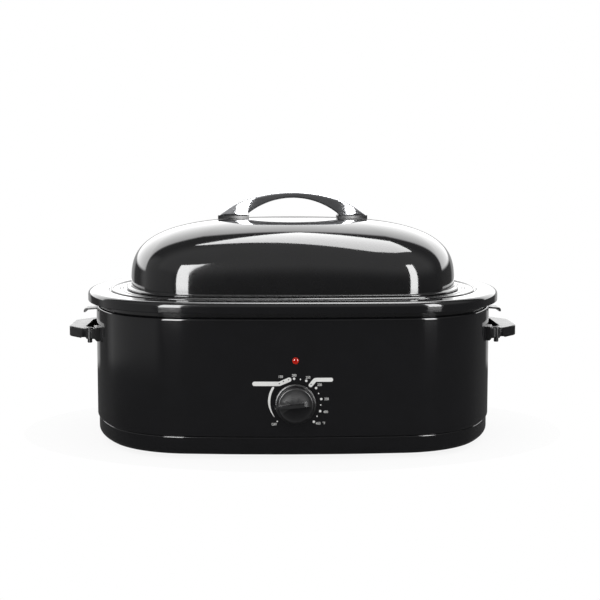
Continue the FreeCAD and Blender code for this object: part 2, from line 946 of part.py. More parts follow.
def side_handle():
    """Moulded grip at the right end: two arms from wall pads to a bar, with a finger gap."""
    wall = casing_length / 2
    outer = wall + grip_reach
    inner = outer - grip_width
    half = grip_half_length
    low = grip_top - grip_thickness
    outline = [
        (wall - 9, -half - 8),
        (outer - 22, -half, 10),
        (outer, -half / 2 - 2, 20),
        (outer, half / 2 + 2, 20),
        (outer - 22, half, 10),
        (wall - 9, half + 8),
        (wall - 9, half - 8),
        (wall + 3, half - 11, 4),
        (inner, half - 22, 5),
        (inner, -half + 22, 5),
        (wall + 3, -half + 11, 4),
        (wall - 9, -half + 8),
    ]
    bar = rounded_face(outline, lambda u, v: Vector(u, v, low)).extrude(up * grip_thickness)
    outside = [edge for edge in bar.Edges if edge.BoundBox.XMin > inner + 2 and edge.BoundBox.ZLength < 0.1]
    pieces = [bar.makeFillet(grip_edge, outside)]
    middle = grip_top - grip_thickness / 2 + 1
    for end in (-1, 1):
        points = [
            (0, middle - pad_height / 2),
            (pad_thickness, middle - pad_height / 2, 1.5),
            (pad_thickness, middle + pad_height / 2, 1.5),
            (0, middle + pad_height / 2),
        ]
        pieces.append(patch(points, RIGHT, end * pad_angle, pad_width))
        spot = Vector(wall + peg_radius + 0.5, end * half, 0)
        peg = [
            (0, low - peg_drop),
            (peg_radius, low - peg_drop, 0.8),
            (peg_radius, low),
            (peg_radius + 1.4, low),
            (peg_radius + 1.4, grip_top + 1, 0.8),
            (peg_radius - 0.8, grip_top + 1, 0.6),
            (peg_radius - 0.8, grip_top - 0.4),
            (0, grip_top - 0.4),
        ]
        pieces.append(turned(peg, spot, up))
    body = fuse(pieces)
    cuts = [plan_slab(skin_gap, low - peg_drop - 1, grip_top + 6)]
    for end in (-1, 1):
        notch = Vector(wall + peg_radius * 2 + 6, end * half - 14, low)
        cuts.append(Part.makeCylinder(4.2, 28, notch - up * 1.2, Vector(0, 1, 0)))
        start, outward = side_screw_line(1, end)
        cuts.append(Part.makeCylinder(screw_radius + running_gap, side_screw_length + 1, start, outward))
    return body.cut(cuts)


def side_handle_screws():
    """Four screws from inside the casing into the handle arms."""
    screws = []
    for side in (-1, 1):
        for end in (-1, 1):
            start, outward = side_screw_line(side, end)
            length = side_screw_length + casing_sheet + 0.2
            tip = start + outward * side_screw_length
            screws.append(screw(tip, -outward, length))
    return Part.makeCompound(screws)


def lid_rest():
    """Bent tab at the right end: a root behind the wall, a shelf through it and a lip turned down."""
    root_outer = RIGHT[0].x + math.sqrt((end_radius - casing_sheet) ** 2 - (rest_width / 2) ** 2)
    tip = casing_length / 2 + rest_reach
    path = [
        (tip, rest_top - rest_lip - 1.2),
        (tip, rest_top - 1.2, 3.4),
        (casing_length / 2 + 2, rest_top),
        (root_outer - rest_sheet - 0.05, rest_top, 2.6),
        (root_outer - rest_sheet - 0.05, rest_top - rest_root),
    ]
    half = rest_width / 2
    face = rounded_face(bent_sheet(path, rest_sheet), lambda u, v: Vector(u, -half, v))
    return face.extrude(Vector(0, rest_width, 0))


# Roasting pan

def roasting_pan():
    """Drawn oval pan with a drafted wall, a rounded floor edge, a flange, a bead and a locating ridge."""
    foot = -pan_mouth_inset - pan_draft
    edge = foot - pan_corner - 1
    path = [
        (edge, pan_floor),
        (foot, pan_floor, pan_corner),
        (-pan_mouth_inset, flange_low, 3),
        (-pan_flange_edge, flange_low),
    ]
    ridge = [
        (-pan_ridge_inset - pan_ridge_width / 2, flange_top - 0.2),
        (-pan_ridge_inset + pan_ridge_width / 2, flange_top - 0.2),
        (-pan_ridge_inset + pan_ridge_width / 4, flange_top + pan_ridge_height, 0.8),
        (-pan_ridge_inset - pan_ridge_width / 4, flange_top + pan_ridge_height, 0.8),
    ]
    return fuse([
        ring(bent_sheet(path, pan_sheet)),
        plan_slab(edge, pan_floor, pan_floor + pan_sheet),
        ring(ridge),
        bead(-pan_flange_edge, flange_low + pan_bead_radius, pan_bead_radius),
    ])


# Lid

lid_foot_level = flange_top + seat_gap + lid_bead_radius


def dome_arcs(inset, scale):
    """Oval of the dome at one scale: it starts as the lid wall's and grows rounder towards the crown."""
    offset = lid_wall_inset + inset
    rounder = 1 - scale ** lid_rounding

    def bowed(low, high):
        return scale / ((1 - rounder) / (low - offset) + rounder / (high - inset))

    return plan_arcs(
        (casing_length / 2 - offset) * scale,
        (casing_depth / 2 - offset) * scale,
        bowed(corner_radius, lid_top_corner_radius),
        bowed(end_radius, lid_top_end_radius),
        bowed(side_radius, lid_top_side_radius),
    )


def dome(inset):
    """Pillow-shaped solid: ovals that shrink along a superellipse up to the crown."""
    rise = lid_crown - lid_shoulder - inset
    power = 2 / lid_fullness
    sections = []
    for step in range(dome_sections):
        turn = math.radians(dome_last_turn * step / (dome_sections - 1))
        level = lid_shoulder + rise * math.sin(turn) ** power
        sections.append(plan_wire(0, level, dome_arcs(inset, math.cos(turn) ** power)))
    return Part.makeLoft(sections, True, False)


def lid_hole(x):
    """Hole for one handle screw, through the lid."""
    return Part.makeCylinder(screw_radius + hole_gap, lid_crown, Vector(x, 0, lid_shoulder))


def lid_shell():
    """Domed lid: drawn shell, upright wall, out-turned foot with a rolled bead."""
    outer = -lid_wall_inset
    inner = outer - lid_sheet
    path = [
        (inner, lid_shoulder),
        (inner, lid_foot_level - 0.6, 3),
        (-lid_foot_inset - lid_bead_radius, lid_foot_level - 0.6),
    ]
    crown = dome(0).cut(dome(lid_sheet))
    rolled = bead(-lid_foot_inset - lid_bead_radius, lid_foot_level, lid_bead_radius)
    shell = fuse([crown, ring(bent_sheet(path, lid_sheet)), rolled])
    return shell.cut([lid_hole(-handle_screw_place), lid_hole(handle_screw_place)])


def handle_end():
    """Outer arc's shoulder point, shoulder centre and the tip where it meets the seat."""
    turn = math.radians(handle_shoulder_angle)
    lean = Vector(math.sin(turn), 0, math.cos(turn))
    centre = Vector(0, 0, handle_top - handle_outer_radius)
    joint = centre + lean * handle_outer_radius
    shoulder = centre + lean * (handle_outer_radius - handle_shoulder_radius)
    drop = handle_seat - shoulder.z
    tip = Vector(shoulder.x + math.sqrt(handle_shoulder_radius ** 2 - drop ** 2), 0, handle_seat)
    return joint, shoulder, tip


def handle_leaf(overhang, low, high):
    """Leaf-shaped block in plan: parallel in the middle, drawn in by an arc to a point at each end."""
    half = handle_half_width + overhang
    radius = handle_taper_radius + overhang
    reach = handle_straight + math.sqrt(radius ** 2 - (radius - half) ** 2)
    bend = math.acos((radius - half) / radius) / 2
    belly = (handle_straight + radius * math.sin(bend), half - radius + radius * math.cos(bend))
    edges = []
    for flip in (1, -1):
        corners = [(reach, 0), belly, (handle_straight, half)]
        corners += [(-x, y) for x, y in corners[::-1]]
        spots = [Vector(x * flip, y * flip, low) for x, y in corners]
        edges.append(Part.Arc(*spots[:3]).toShape())
        edges.append(Part.makeLine(spots[2], spots[3]))
        edges.append(Part.Arc(*spots[3:]).toShape())
    return Part.Face(Part.Wire(edges)).extrude(up * (high - low))


def lid_handle():
    """Arched strap with a leaf-shaped plan: three outer arcs, one inner arc and a foot at each end."""
    joint, shoulder, tip = handle_end()
    ends = [math.atan2(point.z - shoulder.z, point.x - shoulder.x) for point in (joint, tip)]
    middle = sum(ends) / 2
    bulge = shoulder + Vector(math.cos(middle), 0, math.sin(middle)) * handle_shoulder_radius
    under = handle_top - handle_thickness
    reach = handle_inner_reach
    inner_end = under - handle_inner_radius + math.sqrt(handle_inner_radius ** 2 - reach ** 2)

    def opposite(point):
        return Vector(-point.x, point.y, point.z)

    inner = Vector(reach, 0, inner_end)
    heel = Vector(reach, 0, handle_seat)
    edges = [
        Part.Arc(joint, Vector(0, 0, handle_top), opposite(joint)).toShape(),
        Part.Arc(opposite(joint), opposite(bulge), opposite(tip)).toShape(),
        Part.makeLine(opposite(tip), opposite(heel)),
        Part.makeLine(opposite(heel), opposite(inner)),
        Part.Arc(opposite(inner), Vector(0, 0, under), inner).toShape(),
        Part.makeLine(inner, heel),
        Part.makeLine(heel, tip),
        Part.Arc(tip, bulge, joint).toShape(),
    ]
    face = Part.Face(Part.Wire(edges)).translated(Vector(0, -handle_half_width - 1, 0))
    strap = face.extrude(Vector(0, 2 * handle_half_width + 2, 0))
    strap = strap.common(handle_leaf(0, handle_seat - 1, handle_top + 1))
    bores = []
    for x in (-handle_screw_place, handle_screw_place):
        bores.append(Part.makeCylinder(screw_radius + running_gap, handle_screw_depth, Vector(x, 0, handle_seat)))
    return strap.cut(bores)


def lid_handle_pads():
    """Two pads with a pointed outer end, shaped to the dome below and flat under the handle."""
    start = handle_inner_reach - 1.5
    foot = lid_shoulder + (handle_seat - lid_shoulder) * 0.85
    leaf = handle_leaf(handle_pad_overhang, foot, handle_seat)
    body = dome(0)
    pads = []
    for side in (-1, 1):
        span = sorted((side * start, side * casing_length / 2))
        half = handle_half_width + handle_pad_overhang + 1
        pad = leaf.common(box(span, (-half, half), (foot, handle_seat))).cut(body)
        place = Vector(side * handle_screw_place, 0, lid_shoulder)
        pads.append(pad.cut(Part.makeCylinder(screw_radius + hole_gap, lid_crown, place)))
    return Part.makeCompound(pads)


def under_crown(x, inset):
    """Height of the dome's inner skin on the long axis."""
    reach = casing_length / 2 - lid_wall_inset - inset
    rise = lid_crown - lid_shoulder - inset
    return lid_shoulder + rise * (1 - (abs(x) / reach) ** lid_fullness) ** (1 / lid_fullness)


washer_top = under_crown(handle_screw_place + washer_radius, lid_sheet) - 0.05


def lid_handle_washers():
    """Two washers under the lid."""
    washers = []
    for side in (-1, 1):
        points = [
            (screw_radius + hole_gap, washer_top - washer_thickness),
            (washer_radius, washer_top - washer_thickness),
            (washer_radius, washer_top),
            (screw_radius + hole_gap, washer_top),
        ]
        washers.append(turned(points, Vector(side * handle_screw_place, 0, 0), up))
    return Part.makeCompound(washers)


def lid_handle_screws():
    """Two screws from inside the lid into the handle."""
    head_seat = washer_top - washer_thickness
    length = handle_seat + handle_screw_depth - 1 - head_seat
    screws = []
    for side in (-1, 1):
        tip = Vector(side * handle_screw_place, 0, head_seat + length)
        screws.append(screw(tip, -up, length))
    return Part.makeCompound(screws)


# Roasting rack

def roasting_rack():
    """Welded wire rack: oval frame, cross wires, two foot wires and two folding-in lift handles."""
    level = pan_floor + pan_sheet + rack_rise
    wires = [bead(-rack_inset, level, rack_frame_radius)]
    half_length = casing_length / 2 - rack_inset
    count = int((half_length - 12) // rack_pitch)
    wire_level = level + rack_frame_radius + rack_wire_radius - rack_weld
    for step in range(-count, count + 1):
        x = step * rack_pitch
        reach = plan_half_depth(abs(x), -rack_inset)
        start = Vector(x, -reach, wire_level)
        wires.append(tube(start, Vector(0, 1, 0), rack_wire_radius, [Vector(0, reach * 2, 0)]))
    foot_level = pan_floor + pan_sheet + seat_gap + rack_wire_radius
    for side in (-1, 1):
        x = side * rack_foot_place
        reach = plan_half_depth(abs(x), -rack_inset)
        drop = level - foot_level - rack_bend
        turn_y = reach - rack_bend
        wires.append(tube(
            Vector(x, -reach, level),
            Vector(0, 0, -1),
            rack_wire_radius,
            [
                up * -drop,
                (Vector(x, -turn_y, foot_level + rack_bend), Vector(1, 0, 0), 90),
                Vector(0, 2 * turn_y, 0),
                (Vector(x, turn_y, foot_level + rack_bend), Vector(1, 0, 0), 90),
                up * drop,
            ],
        ))
        wires.append(rack_handle(side, level))
    return fuse(wires)


def rack_handle(side, level):
    """Lift handle at one end of the rack: up and inwards, along, and down again."""
    end = rack_handle_half_length
    reach = RIGHT[0].x + math.sqrt((end_radius - rack_inset) ** 2 - end ** 2)
    climb = Vector(-side * rack_handle_lean, 0, rack_handle_rise)
    direction = Vector(climb)
    direction.normalize()
    run = climb - direction * rack_bend
    start = Vector(side * reach, -end, level)
    normal = direction.cross(Vector(0, 1, 0))
    first = start + run + Vector(0, rack_bend, 0)
    second = start + run + Vector(0, 2 * end - rack_bend, 0)
    moves = [
        run,
        (first, normal, 90),
        Vector(0, 2 * (end - rack_bend), 0),
        (second, normal, 90),
        run * -1,
    ]
    return tube(start, direction, rack_wire_radius, moves)


NODES = {
    "base_pan": base_pan,
    "rubber_feet": rubber_feet,
    "tie_posts": tie_posts,
    "base_screws": base_screws,
    "heat_shield": heat_shield,
    "outer_casing": outer_casing,
    "well_liner": well_liner,
    "rim_collar": rim_collar,
    "heating_band": heating_band,
    "band_clips": band_clips,
    "insulation_blanket": insulation_blanket,
    "thermostat_bracket": thermostat_bracket,
    "thermostat_body": thermostat_body,
    "thermostat_screws": thermostat_screws,
    "thermostat_shaft": thermostat_shaft,
    "control_knob": control_knob,
    "indicator_lens": indicator_lens,
    "indicator_lamp": indicator_lamp,
    "lens_clip": lens_clip,
    "cord_gland": cord_gland,
    "terminal_block": terminal_block,
    "lead_wires": lead_wires,
    "side_handle_right": side_handle,
    "side_handle_left": lambda: to_left(side_handle()),
    "side_handle_screws": side_handle_screws,
    "lid_rest_right": lid_rest,
    "lid_rest_left": lambda: to_left(lid_rest()),
    "roasting_pan": roasting_pan,
    "lid_shell": lid_shell,
    "lid_handle": lid_handle,
    "lid_handle_pads": lid_handle_pads,
    "lid_handle_washers": lid_handle_washers,
    "lid_handle_screws": lid_handle_screws,
    "roasting_rack": roasting_rack,
}

os.makedirs("parts", exist_ok=True)
for name, make in NODES.items():
    shape = make()
    shape.exportStep("parts/" + name + ".step")
    print(name, "valid" if shape.isValid() else "INVALID", len(shape.Solids), "solids", round(shape.Volume), "mm3")
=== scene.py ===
import json
import math

import bmesh
import bpy
import numpy as np
from mathutils import Matrix, Vector

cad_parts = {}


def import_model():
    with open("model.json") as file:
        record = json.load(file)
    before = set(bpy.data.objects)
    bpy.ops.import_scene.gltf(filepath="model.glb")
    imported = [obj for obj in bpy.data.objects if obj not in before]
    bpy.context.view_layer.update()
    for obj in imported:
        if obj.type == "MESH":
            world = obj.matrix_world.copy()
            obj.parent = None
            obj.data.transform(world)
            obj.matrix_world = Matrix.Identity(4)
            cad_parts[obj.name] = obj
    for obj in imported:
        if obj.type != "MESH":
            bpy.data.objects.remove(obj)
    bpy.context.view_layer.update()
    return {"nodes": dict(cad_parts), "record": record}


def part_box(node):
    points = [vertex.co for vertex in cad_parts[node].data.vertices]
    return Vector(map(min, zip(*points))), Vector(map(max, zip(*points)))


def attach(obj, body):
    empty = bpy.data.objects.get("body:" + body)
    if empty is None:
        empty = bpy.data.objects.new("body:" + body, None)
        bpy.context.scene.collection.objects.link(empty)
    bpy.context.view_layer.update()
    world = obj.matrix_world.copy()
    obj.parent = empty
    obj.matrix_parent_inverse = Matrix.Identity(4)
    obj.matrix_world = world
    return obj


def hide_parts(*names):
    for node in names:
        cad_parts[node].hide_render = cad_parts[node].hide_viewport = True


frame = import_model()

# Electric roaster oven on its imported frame. Lengths are in millimetres until a mesh is made.
MM = 0.001

# Oval plan of the casing
CASING_LENGTH = 521.0
CASING_DEPTH = 394.0
CORNER_RADIUS = 119.2
END_RADIUS = 273.0
SIDE_RADIUS = 1409.0
ARC_STEPS = (28, 36, 44, 36, 28, 36, 44, 36)

# Sheets
CASING_SHEET = 1.0
COLLAR_SHEET = 1.2
LINER_SHEET = 1.0
PAN_SHEET = 1.2
LID_SHEET = 1.2
SHEET_EDGE = 0.35
HOLD = 0.5

# Offsets from the casing's oval
LINER_OFFSET = -36.0
NECK_OFFSET = -5.0
COLLAR_OVERHANG = 10.7
COLLAR_EDGE = 6.0
COLLAR_SHELF = -16.0
SHELF_STEP = 1.7
PAN_MOUTH = -47.2
PAN_DRAFT = 11.8
PAN_CORNER = 20.0
PAN_EDGE = -20.5
PAN_RIDGE = -33.5
PAN_RIDGE_HALF = 2.5
PAN_RIDGE_HEIGHT = 1.1
LID_WALL = -46.0
LID_FOOT = -40.0
LID_SHOULDER = 200.0
LID_FULLNESS = 3.0
LID_TOP_CORNER = 110.0
LID_TOP_END = 180.0
LID_TOP_SIDE = 330.0
LID_ROUNDING = 4.0
LID_BEAD = 1.6
WELL_CORNER = 16.0
WELD = 0.002

# Lid handle
HANDLE_OUTER = 190.0
HANDLE_SHOULDER = 110.0
HANDLE_TURN = 17.4
HANDLE_INNER = 95.0
HANDLE_HEEL = 60.0
HANDLE_THICKNESS = 8.0
HANDLE_HALF_WIDTH = 16.0
HANDLE_STRAIGHT = 45.0
HANDLE_TAPER = 92.0
HANDLE_EDGE = 2.4

# Dial, seen from the front: x to the right and z up from the knob's axis
KNOB_X = 0.0
KNOB_Z = 69.0
DIAL_TEXT_HEIGHT = 3.1
CAPITAL_SHARE = 0.7
TEXT_NARROWING = 0.86
LARGE_DOT = 1.5
SMALL_DOT = 0.85
BAND_DOT = 0.75
INK_RISE = 0.06
LABELS = {
    "150": (-18.1, 33.1),
    "200": (-1.8, 34.7),
    "250": (14.9, 32.2),
    "300": (28.9, 23.1),
    "350": (37.3, 5.8),
    "400": (36.3, -9.9),
    "450": (27.2, -24.0),
    "°F": (34.2, -23.8),
    "OFF": (-25.8, -25.0),
}
LARGE_DOTS = [(-1.8, 30.8), (12.9, 28.3), (24.7, 19.4), (31.0, 5.9), (29.7, -8.9), (22.1, -21.8)]
SMALL_DOTS = [(5.8, 30.0), (27.8, 12.7), (30.3, -1.3), (26.0, -15.1), (-22.1, -21.2)]
LEFT_BAND = [(-52.1, 24.6), (-19.6, 24.6), (-5.2, 30.7)]
LEFT_BAND_DOTS = [(-19.6, 24.9), (-14.7, 27.5), (-8.5, 29.6)]
RIGHT_BAND = [(16.6, 21.0), (23.5, 29.4), (45.2, 29.4)]
RIGHT_BAND_DOTS = [(18.7, 23.9)]
LEFT_BAND_WIDTH = 5.3
RIGHT_BAND_WIDTH = 4.8
SWEEP_START = 141
SWEEP_TURN = 71
SWEEP_RADII = [33.7, 31.9, 29.9]
SWEEP_HALF_WIDTH = 1.35

# Lamp jewel
LENS_INSET = 0.6
LENS_RIM = 0.8
LENS_STEM_RADIUS = 3.9
LENS_BORE_RADIUS = 2.8
LENS_STEM = 7.0

# Camera of the photograph, 600 pixels wide
IMAGE_WIDTH = 600.0
FOCAL_PIXELS = 1360.0
SENSOR_WIDTH = 36.0
CAMERA_DISTANCE = 1815.0
CAMERA_HEIGHT = 365.3
CAMERA_PITCH = 0.1048
OBJECT_YAW = 0.0176
CENTRE_PIXEL = 292.7

# Brightness of the stage
PLAIN_LEVEL = 0.85
FRONT_LEVEL = 0.08
FRONT_LIFT = 0.42
BEHIND_LEVEL = 2.6
WALL_LEVEL = 0.35
FAR_LEVEL = 0.5
FLOOR_LEVEL = 1.04
FLOOR_SHARE = 0.85
FLOOR_HALF_AXES = (0.36, 0.26)

# Softboxes: place in metres, turn in degrees, width and height in metres, radiance
SOFTBOXES = {
    "overhead": ((0.24, 0.23, 1.55), (0, 0, -38), (1.1, 0.79), 11),
    "left_softbox": ((-0.85, -1.47, 0.77), (90, 0, -30), (0.66, 1.46), 18),
    "right_softbox": ((1.22, -1.18, 0.74), (90, 0, 46), (0.42, 1.4), 18),
}

BODY_OF = {node: body for body, nodes in frame["record"]["behaviour"]["bodies"].items() for node in nodes}


def levels(node):
    """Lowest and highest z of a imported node, in millimetres."""
    low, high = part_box(node)
    return low[2] / MM, high[2] / MM


# Colours and materials

def linear(hex_colour):
    """Linear RGBA of an sRGB hex colour."""
    channels = np.array([int(hex_colour[i:i + 2], 16) for i in (1, 3, 5)]) / 255
    low = channels / 12.92
    high = ((channels + 0.055) / 1.055) ** 2.4
    return (*np.where(channels <= 0.04045, low, high).tolist(), 1.0)


def add(tree, kind, inputs=None, **settings):
    """Adds a node, sets its properties, and fills its inputs with values or links."""
    made = tree.nodes.new(kind)
    for key, value in settings.items():
        setattr(made, key, value)
    for key, value in (inputs or {}).items():
        if isinstance(value, bpy.types.NodeSocket):
            tree.links.new(value, made.inputs[key])
        else:
            made.inputs[key].default_value = value
    return made


def surface_material(name, colour, roughness, **sockets):
    """Material with one Principled shader: colour, roughness and any other socket as constants."""
    material = bpy.data.materials.new(name)
    material.use_nodes = True
    tree = material.node_tree
    shader = tree.nodes["Principled BSDF"]
    shader.inputs["Base Color"].default_value = linear(colour)
    shader.inputs["Roughness"].default_value = roughness
    for key, value in sockets.items():
        shader.inputs[key.replace("_", " ").title().replace("Ior", "IOR")].default_value = value
    place = add(tree, "ShaderNodeTexCoord").outputs["Object"]
    return material, tree, shader, place


def grain(tree, place, size, detail=2.0, stretch=(1, 1, 1)):
    """Noise whose blobs are a size in millimetres, stretched along an axis where it is below 1."""
    scaled = add(tree, "ShaderNodeMapping", {"Vector": place, "Scale": stretch})
    inputs = {"Vector": scaled.outputs[0], "Scale": 1 / (size * MM), "Detail": detail}
    return add(tree, "ShaderNodeTexNoise", inputs).outputs["Fac"]


def blend(tree, factor, first, second):
    """Colour between two hex colours."""
    mix = add(tree, "ShaderNodeMix", data_type="RGBA")
    tree.links.new(factor, mix.inputs[0])
    mix.inputs[6].default_value = linear(first)
    mix.inputs[7].default_value = linear(second)
    return mix.outputs[2]


def spread(tree, value, low, high):
    """Value from 0 to 1 stretched to a range."""
    return add(tree, "ShaderNodeMapRange", {"Value": value, "To Min": low, "To Max": high}).outputs[0]


def bump(tree, shader, height, depth, strength=1.0):
    """Bump of a depth in millimetres."""
    inputs = {"Height": height, "Distance": depth * MM, "Strength": strength}
    tree.links.new(add(tree, "ShaderNodeBump", inputs).outputs[0], shader.inputs["Normal"])


def porcelain_enamel():
    """Black glass fused on steel: a deep gloss with a faint waviness of the fired coat."""
    material, tree, shader, place = surface_material("porcelain_enamel", "#202021", 0.08, ior=1.52)
    tree.links.new(spread(tree, grain(tree, place, 60.0), 0.05, 0.09), shader.inputs["Roughness"])
    tree.links.new(blend(tree, grain(tree, place, 25.0), "#1d1d1e", "#232324"), shader.inputs["Base Color"])
    bump(tree, shader, grain(tree, place, 9.0), 0.02, 0.15)
    return material


def baked_enamel():
    """Sprayed and baked black enamel on the outer sheets: glossy, with a finer orange peel."""
    material, tree, shader, place = surface_material("baked_enamel", "#18181a", 0.08, ior=1.5)
    tree.links.new(spread(tree, grain(tree, place, 45.0), 0.06, 0.1), shader.inputs["Roughness"])
    tree.links.new(blend(tree, grain(tree, place, 25.0), "#161617", "#1a1a1c"), shader.inputs["Base Color"])
    bump(tree, shader, grain(tree, place, 3.0), 0.02, 0.15)
    return material


def phenolic():
    """Compression-moulded black phenolic: satin, with a faint mottle from the filler."""
    material, tree, shader, place = surface_material("moulded_phenolic", "#111112", 0.32, ior=1.55)
    tree.links.new(blend(tree, grain(tree, place, 2.5, 4.0), "#0d0d0e", "#17171a"), shader.inputs["Base Color"])
    tree.links.new(spread(tree, grain(tree, place, 12.0), 0.26, 0.4), shader.inputs["Roughness"])
    bump(tree, shader, grain(tree, place, 0.8), 0.02, 0.3)
    return material


def chrome_plate():
    """Bright chrome on polished steel: a mirror with the faint lengthwise lines of buffing."""
    material, tree, shader, place = surface_material("chrome_plate", "#dcdde0", 0.08, metallic=1.0)
    lines = grain(tree, place, 1.2, 3.0, (0.04, 1, 1))
    tree.links.new(spread(tree, lines, 0.05, 0.16), shader.inputs["Roughness"])
    bump(tree, shader, lines, 0.01, 0.2)
    return material


def zinc_plate():
    """Zinc-plated steel of screws and brackets: dull grey with patches of the bath."""
    material, tree, shader, place = surface_material("zinc_plate", "#b4b6b8", 0.35, metallic=1.0)
    patches = grain(tree, place, 4.0, 4.0)
    tree.links.new(blend(tree, patches, "#9fa2a6", "#c4c6c8"), shader.inputs["Base Color"])
    tree.links.new(spread(tree, patches, 0.28, 0.45), shader.inputs["Roughness"])
    return material


def aluminised_sheet():
    """Hot-dip aluminised steel: pale metal with the small spangle of the coat."""
    material, tree, shader, place = surface_material("aluminised_sheet", "#c9cacb", 0.3, metallic=1.0)
    cells = add(tree, "ShaderNodeTexVoronoi", {"Vector": place, "Scale": 1 / (6 * MM)}).outputs["Color"]
    shade = add(tree, "ShaderNodeRGBToBW", {"Color": cells}).outputs[0]
    tree.links.new(blend(tree, shade, "#bcbdbe", "#d3d4d5"), shader.inputs["Base Color"])
    tree.links.new(spread(tree, shade, 0.22, 0.4), shader.inputs["Roughness"])
    return material


def stained_steel():
    """Element sheath after a few heats: straw and blue oxide over brushed steel."""
    material, tree, shader, place = surface_material("heat_stained_steel", "#6f665a", 0.4, metallic=1.0)
    tint = grain(tree, place, 30.0, 3.0)
    tree.links.new(blend(tree, tint, "#7c6a4e", "#565a66"), shader.inputs["Base Color"])
    bump(tree, shader, grain(tree, place, 1.0, 2.0, (0.05, 0.05, 1)), 0.02, 0.3)
    return material


def glass_fibre():
    """Loose yellow glass-fibre blanket: matt and tufted, its colour darkened in the tufts' hollows as painted
    shade.
    """
    material, tree, shader, place = surface_material("glass_fibre_blanket", "#d9cb8f", 0.95)
    tufts_and_hollow_shade = grain(tree, place, 6.0, 8.0)
    # Painted shade: the colour follows the bump's height, darker where the tufts sink into hollows.
    tree.links.new(blend(tree, tufts_and_hollow_shade, "#b7a664", "#ece0ae"), shader.inputs["Base Color"])
    bump(tree, shader, tufts_and_hollow_shade, 1.5, 0.8)
    return material


def ceramic():
    """Unglazed steatite of switch and terminal block: off-white, dry, slightly grainy."""
    material, tree, shader, place = surface_material("steatite_ceramic", "#ddd6c8", 0.6)
    grit = grain(tree, place, 0.8, 4.0)
    tree.links.new(blend(tree, grit, "#d2cabb", "#e6e0d4"), shader.inputs["Base Color"])
    bump(tree, shader, grit, 0.03, 0.4)
    return material


def rubber():
    """Moulded black rubber: matt, with a soft sheen on its edges."""
    material, tree, shader, place = surface_material("moulded_rubber", "#161617", 0.75)
    tree.links.new(blend(tree, grain(tree, place, 3.0, 3.0), "#131314", "#1d1d1f"), shader.inputs["Base Color"])
    bump(tree, shader, grain(tree, place, 0.6), 0.03, 0.4)
    return material


def braided_sleeve():
    """Braided glass sleeve on the leads: fine crossed threads a millimetre apart."""
    material, tree, shader, place = surface_material("braided_sleeve", "#cfc8b4", 0.8)
    inputs = {"Vector": place, "Scale": 1 / (6 * MM), "Distortion": 2.0}
    threads = add(tree, "ShaderNodeTexWave", inputs, bands_direction="DIAGONAL").outputs["Fac"]
    tree.links.new(blend(tree, threads, "#b3ab94", "#ded8c8"), shader.inputs["Base Color"])
    bump(tree, shader, threads, 0.2, 0.6)
    return material


def red_lens():
    """Tinted clear plastic jewel over the lamp: deep red in the middle, lighter towards the edge as the view
    grazes it, partly the thinner tint and partly a painted rim light, and with a faint painted red glow.
    """
    material, tree, shader, place = surface_material(
        "tinted_polycarbonate", "#c8140a", 0.06, ior=1.58, transmission_weight=0.2
    )
    # Painted rim light: the colour turns from deep red to orange as the surface turns away from the view, on top
    # of the real thinning of the tint.
    edge = add(tree, "ShaderNodeLayerWeight", {"Blend": 0.35}).outputs["Facing"]
    tree.links.new(blend(tree, edge, "#a80602", "#ff5a3c"), shader.inputs["Base Color"])
    # Painted glow: a faint red emission on the lens itself. The lens is no lamp, and the lamp behind it gives no
    # light here.
    shader.inputs["Emission Color"].default_value = linear("#e01408")
    shader.inputs["Emission Strength"].default_value = 0.12
    return material


def lamp_glass():
    """Clear drawn glass of the neon lamp, a little uneven."""
    material, tree, shader, place = surface_material(
        "drawn_glass", "#f4f2ee", 0.05, ior=1.47, transmission_weight=0.9
    )
    bump(tree, shader, grain(tree, place, 2.0), 0.02, 0.3)
    return material


def dial_ink():
    """White ink screened on the casing: flat and slightly grainy at its edges."""
    material, tree, shader, place = surface_material("screened_white_ink", "#e9e9e7", 0.5)
    tree.links.new(blend(tree, grain(tree, place, 0.7, 3.0), "#dededc", "#f2f2f0"), shader.inputs["Base Color"])
    return material


def dark_ink():
    """Black ink screened over the white bands."""
    material, tree, shader, place = surface_material("screened_black_ink", "#222223", 0.5)
    tree.links.new(blend(tree, grain(tree, place, 0.7, 3.0), "#1c1c1d", "#2a2a2b"), shader.inputs["Base Color"])
    return material


ENAMEL = porcelain_enamel()
BAKED = baked_enamel()
PHENOLIC = phenolic()
CHROME = chrome_plate()
ZINC = zinc_plate()
INK = dial_ink()


# Plan and profiles

def plan_arcs(half_length, half_depth, corner_radius, end_radius, side_radius):
    """An oval's eight arcs as (centre, radius, first angle, last angle), counter-clockwise from the right end."""
    side_centre = complex(0, half_depth - side_radius)
    end_centre = complex(half_length - end_radius, 0)
    side_reach = side_radius - corner_radius
    end_reach = end_radius - corner_radius
    line = end_centre - side_centre
    span = abs(line)
    along = (side_reach ** 2 - end_reach ** 2 + span ** 2) / (2 * span)
    corner = side_centre + line / span * complex(along, -math.sqrt(side_reach ** 2 - along ** 2))
    side_turn = math.atan2((corner - side_centre).imag, (corner - side_centre).real)
    end_turn = math.atan2((corner - end_centre).imag, (corner - end_centre).real)
    quarter = [
        (end_centre, end_radius, -end_turn, end_turn),
        (corner, corner_radius, end_turn, side_turn),
        (side_centre, side_radius, side_turn, math.pi - side_turn),
        (-corner.conjugate(), corner_radius, math.pi - side_turn, math.pi - end_turn),
    ]
    half = [(-centre, radius, first + math.pi, last + math.pi) for centre, radius, first, last in quarter]
    return quarter + half


def oval(*sizes):
    """Points of an oval and the outward directions there, each arc in even steps."""
    points, outward = [], []
    for (centre, radius, first, last), steps in zip(plan_arcs(*sizes), ARC_STEPS):
        direction = np.exp(1j * np.linspace(first, last, steps, endpoint=False))
        points.append(centre + radius * direction)
        outward.append(direction)
    return np.concatenate(points), np.concatenate(outward)


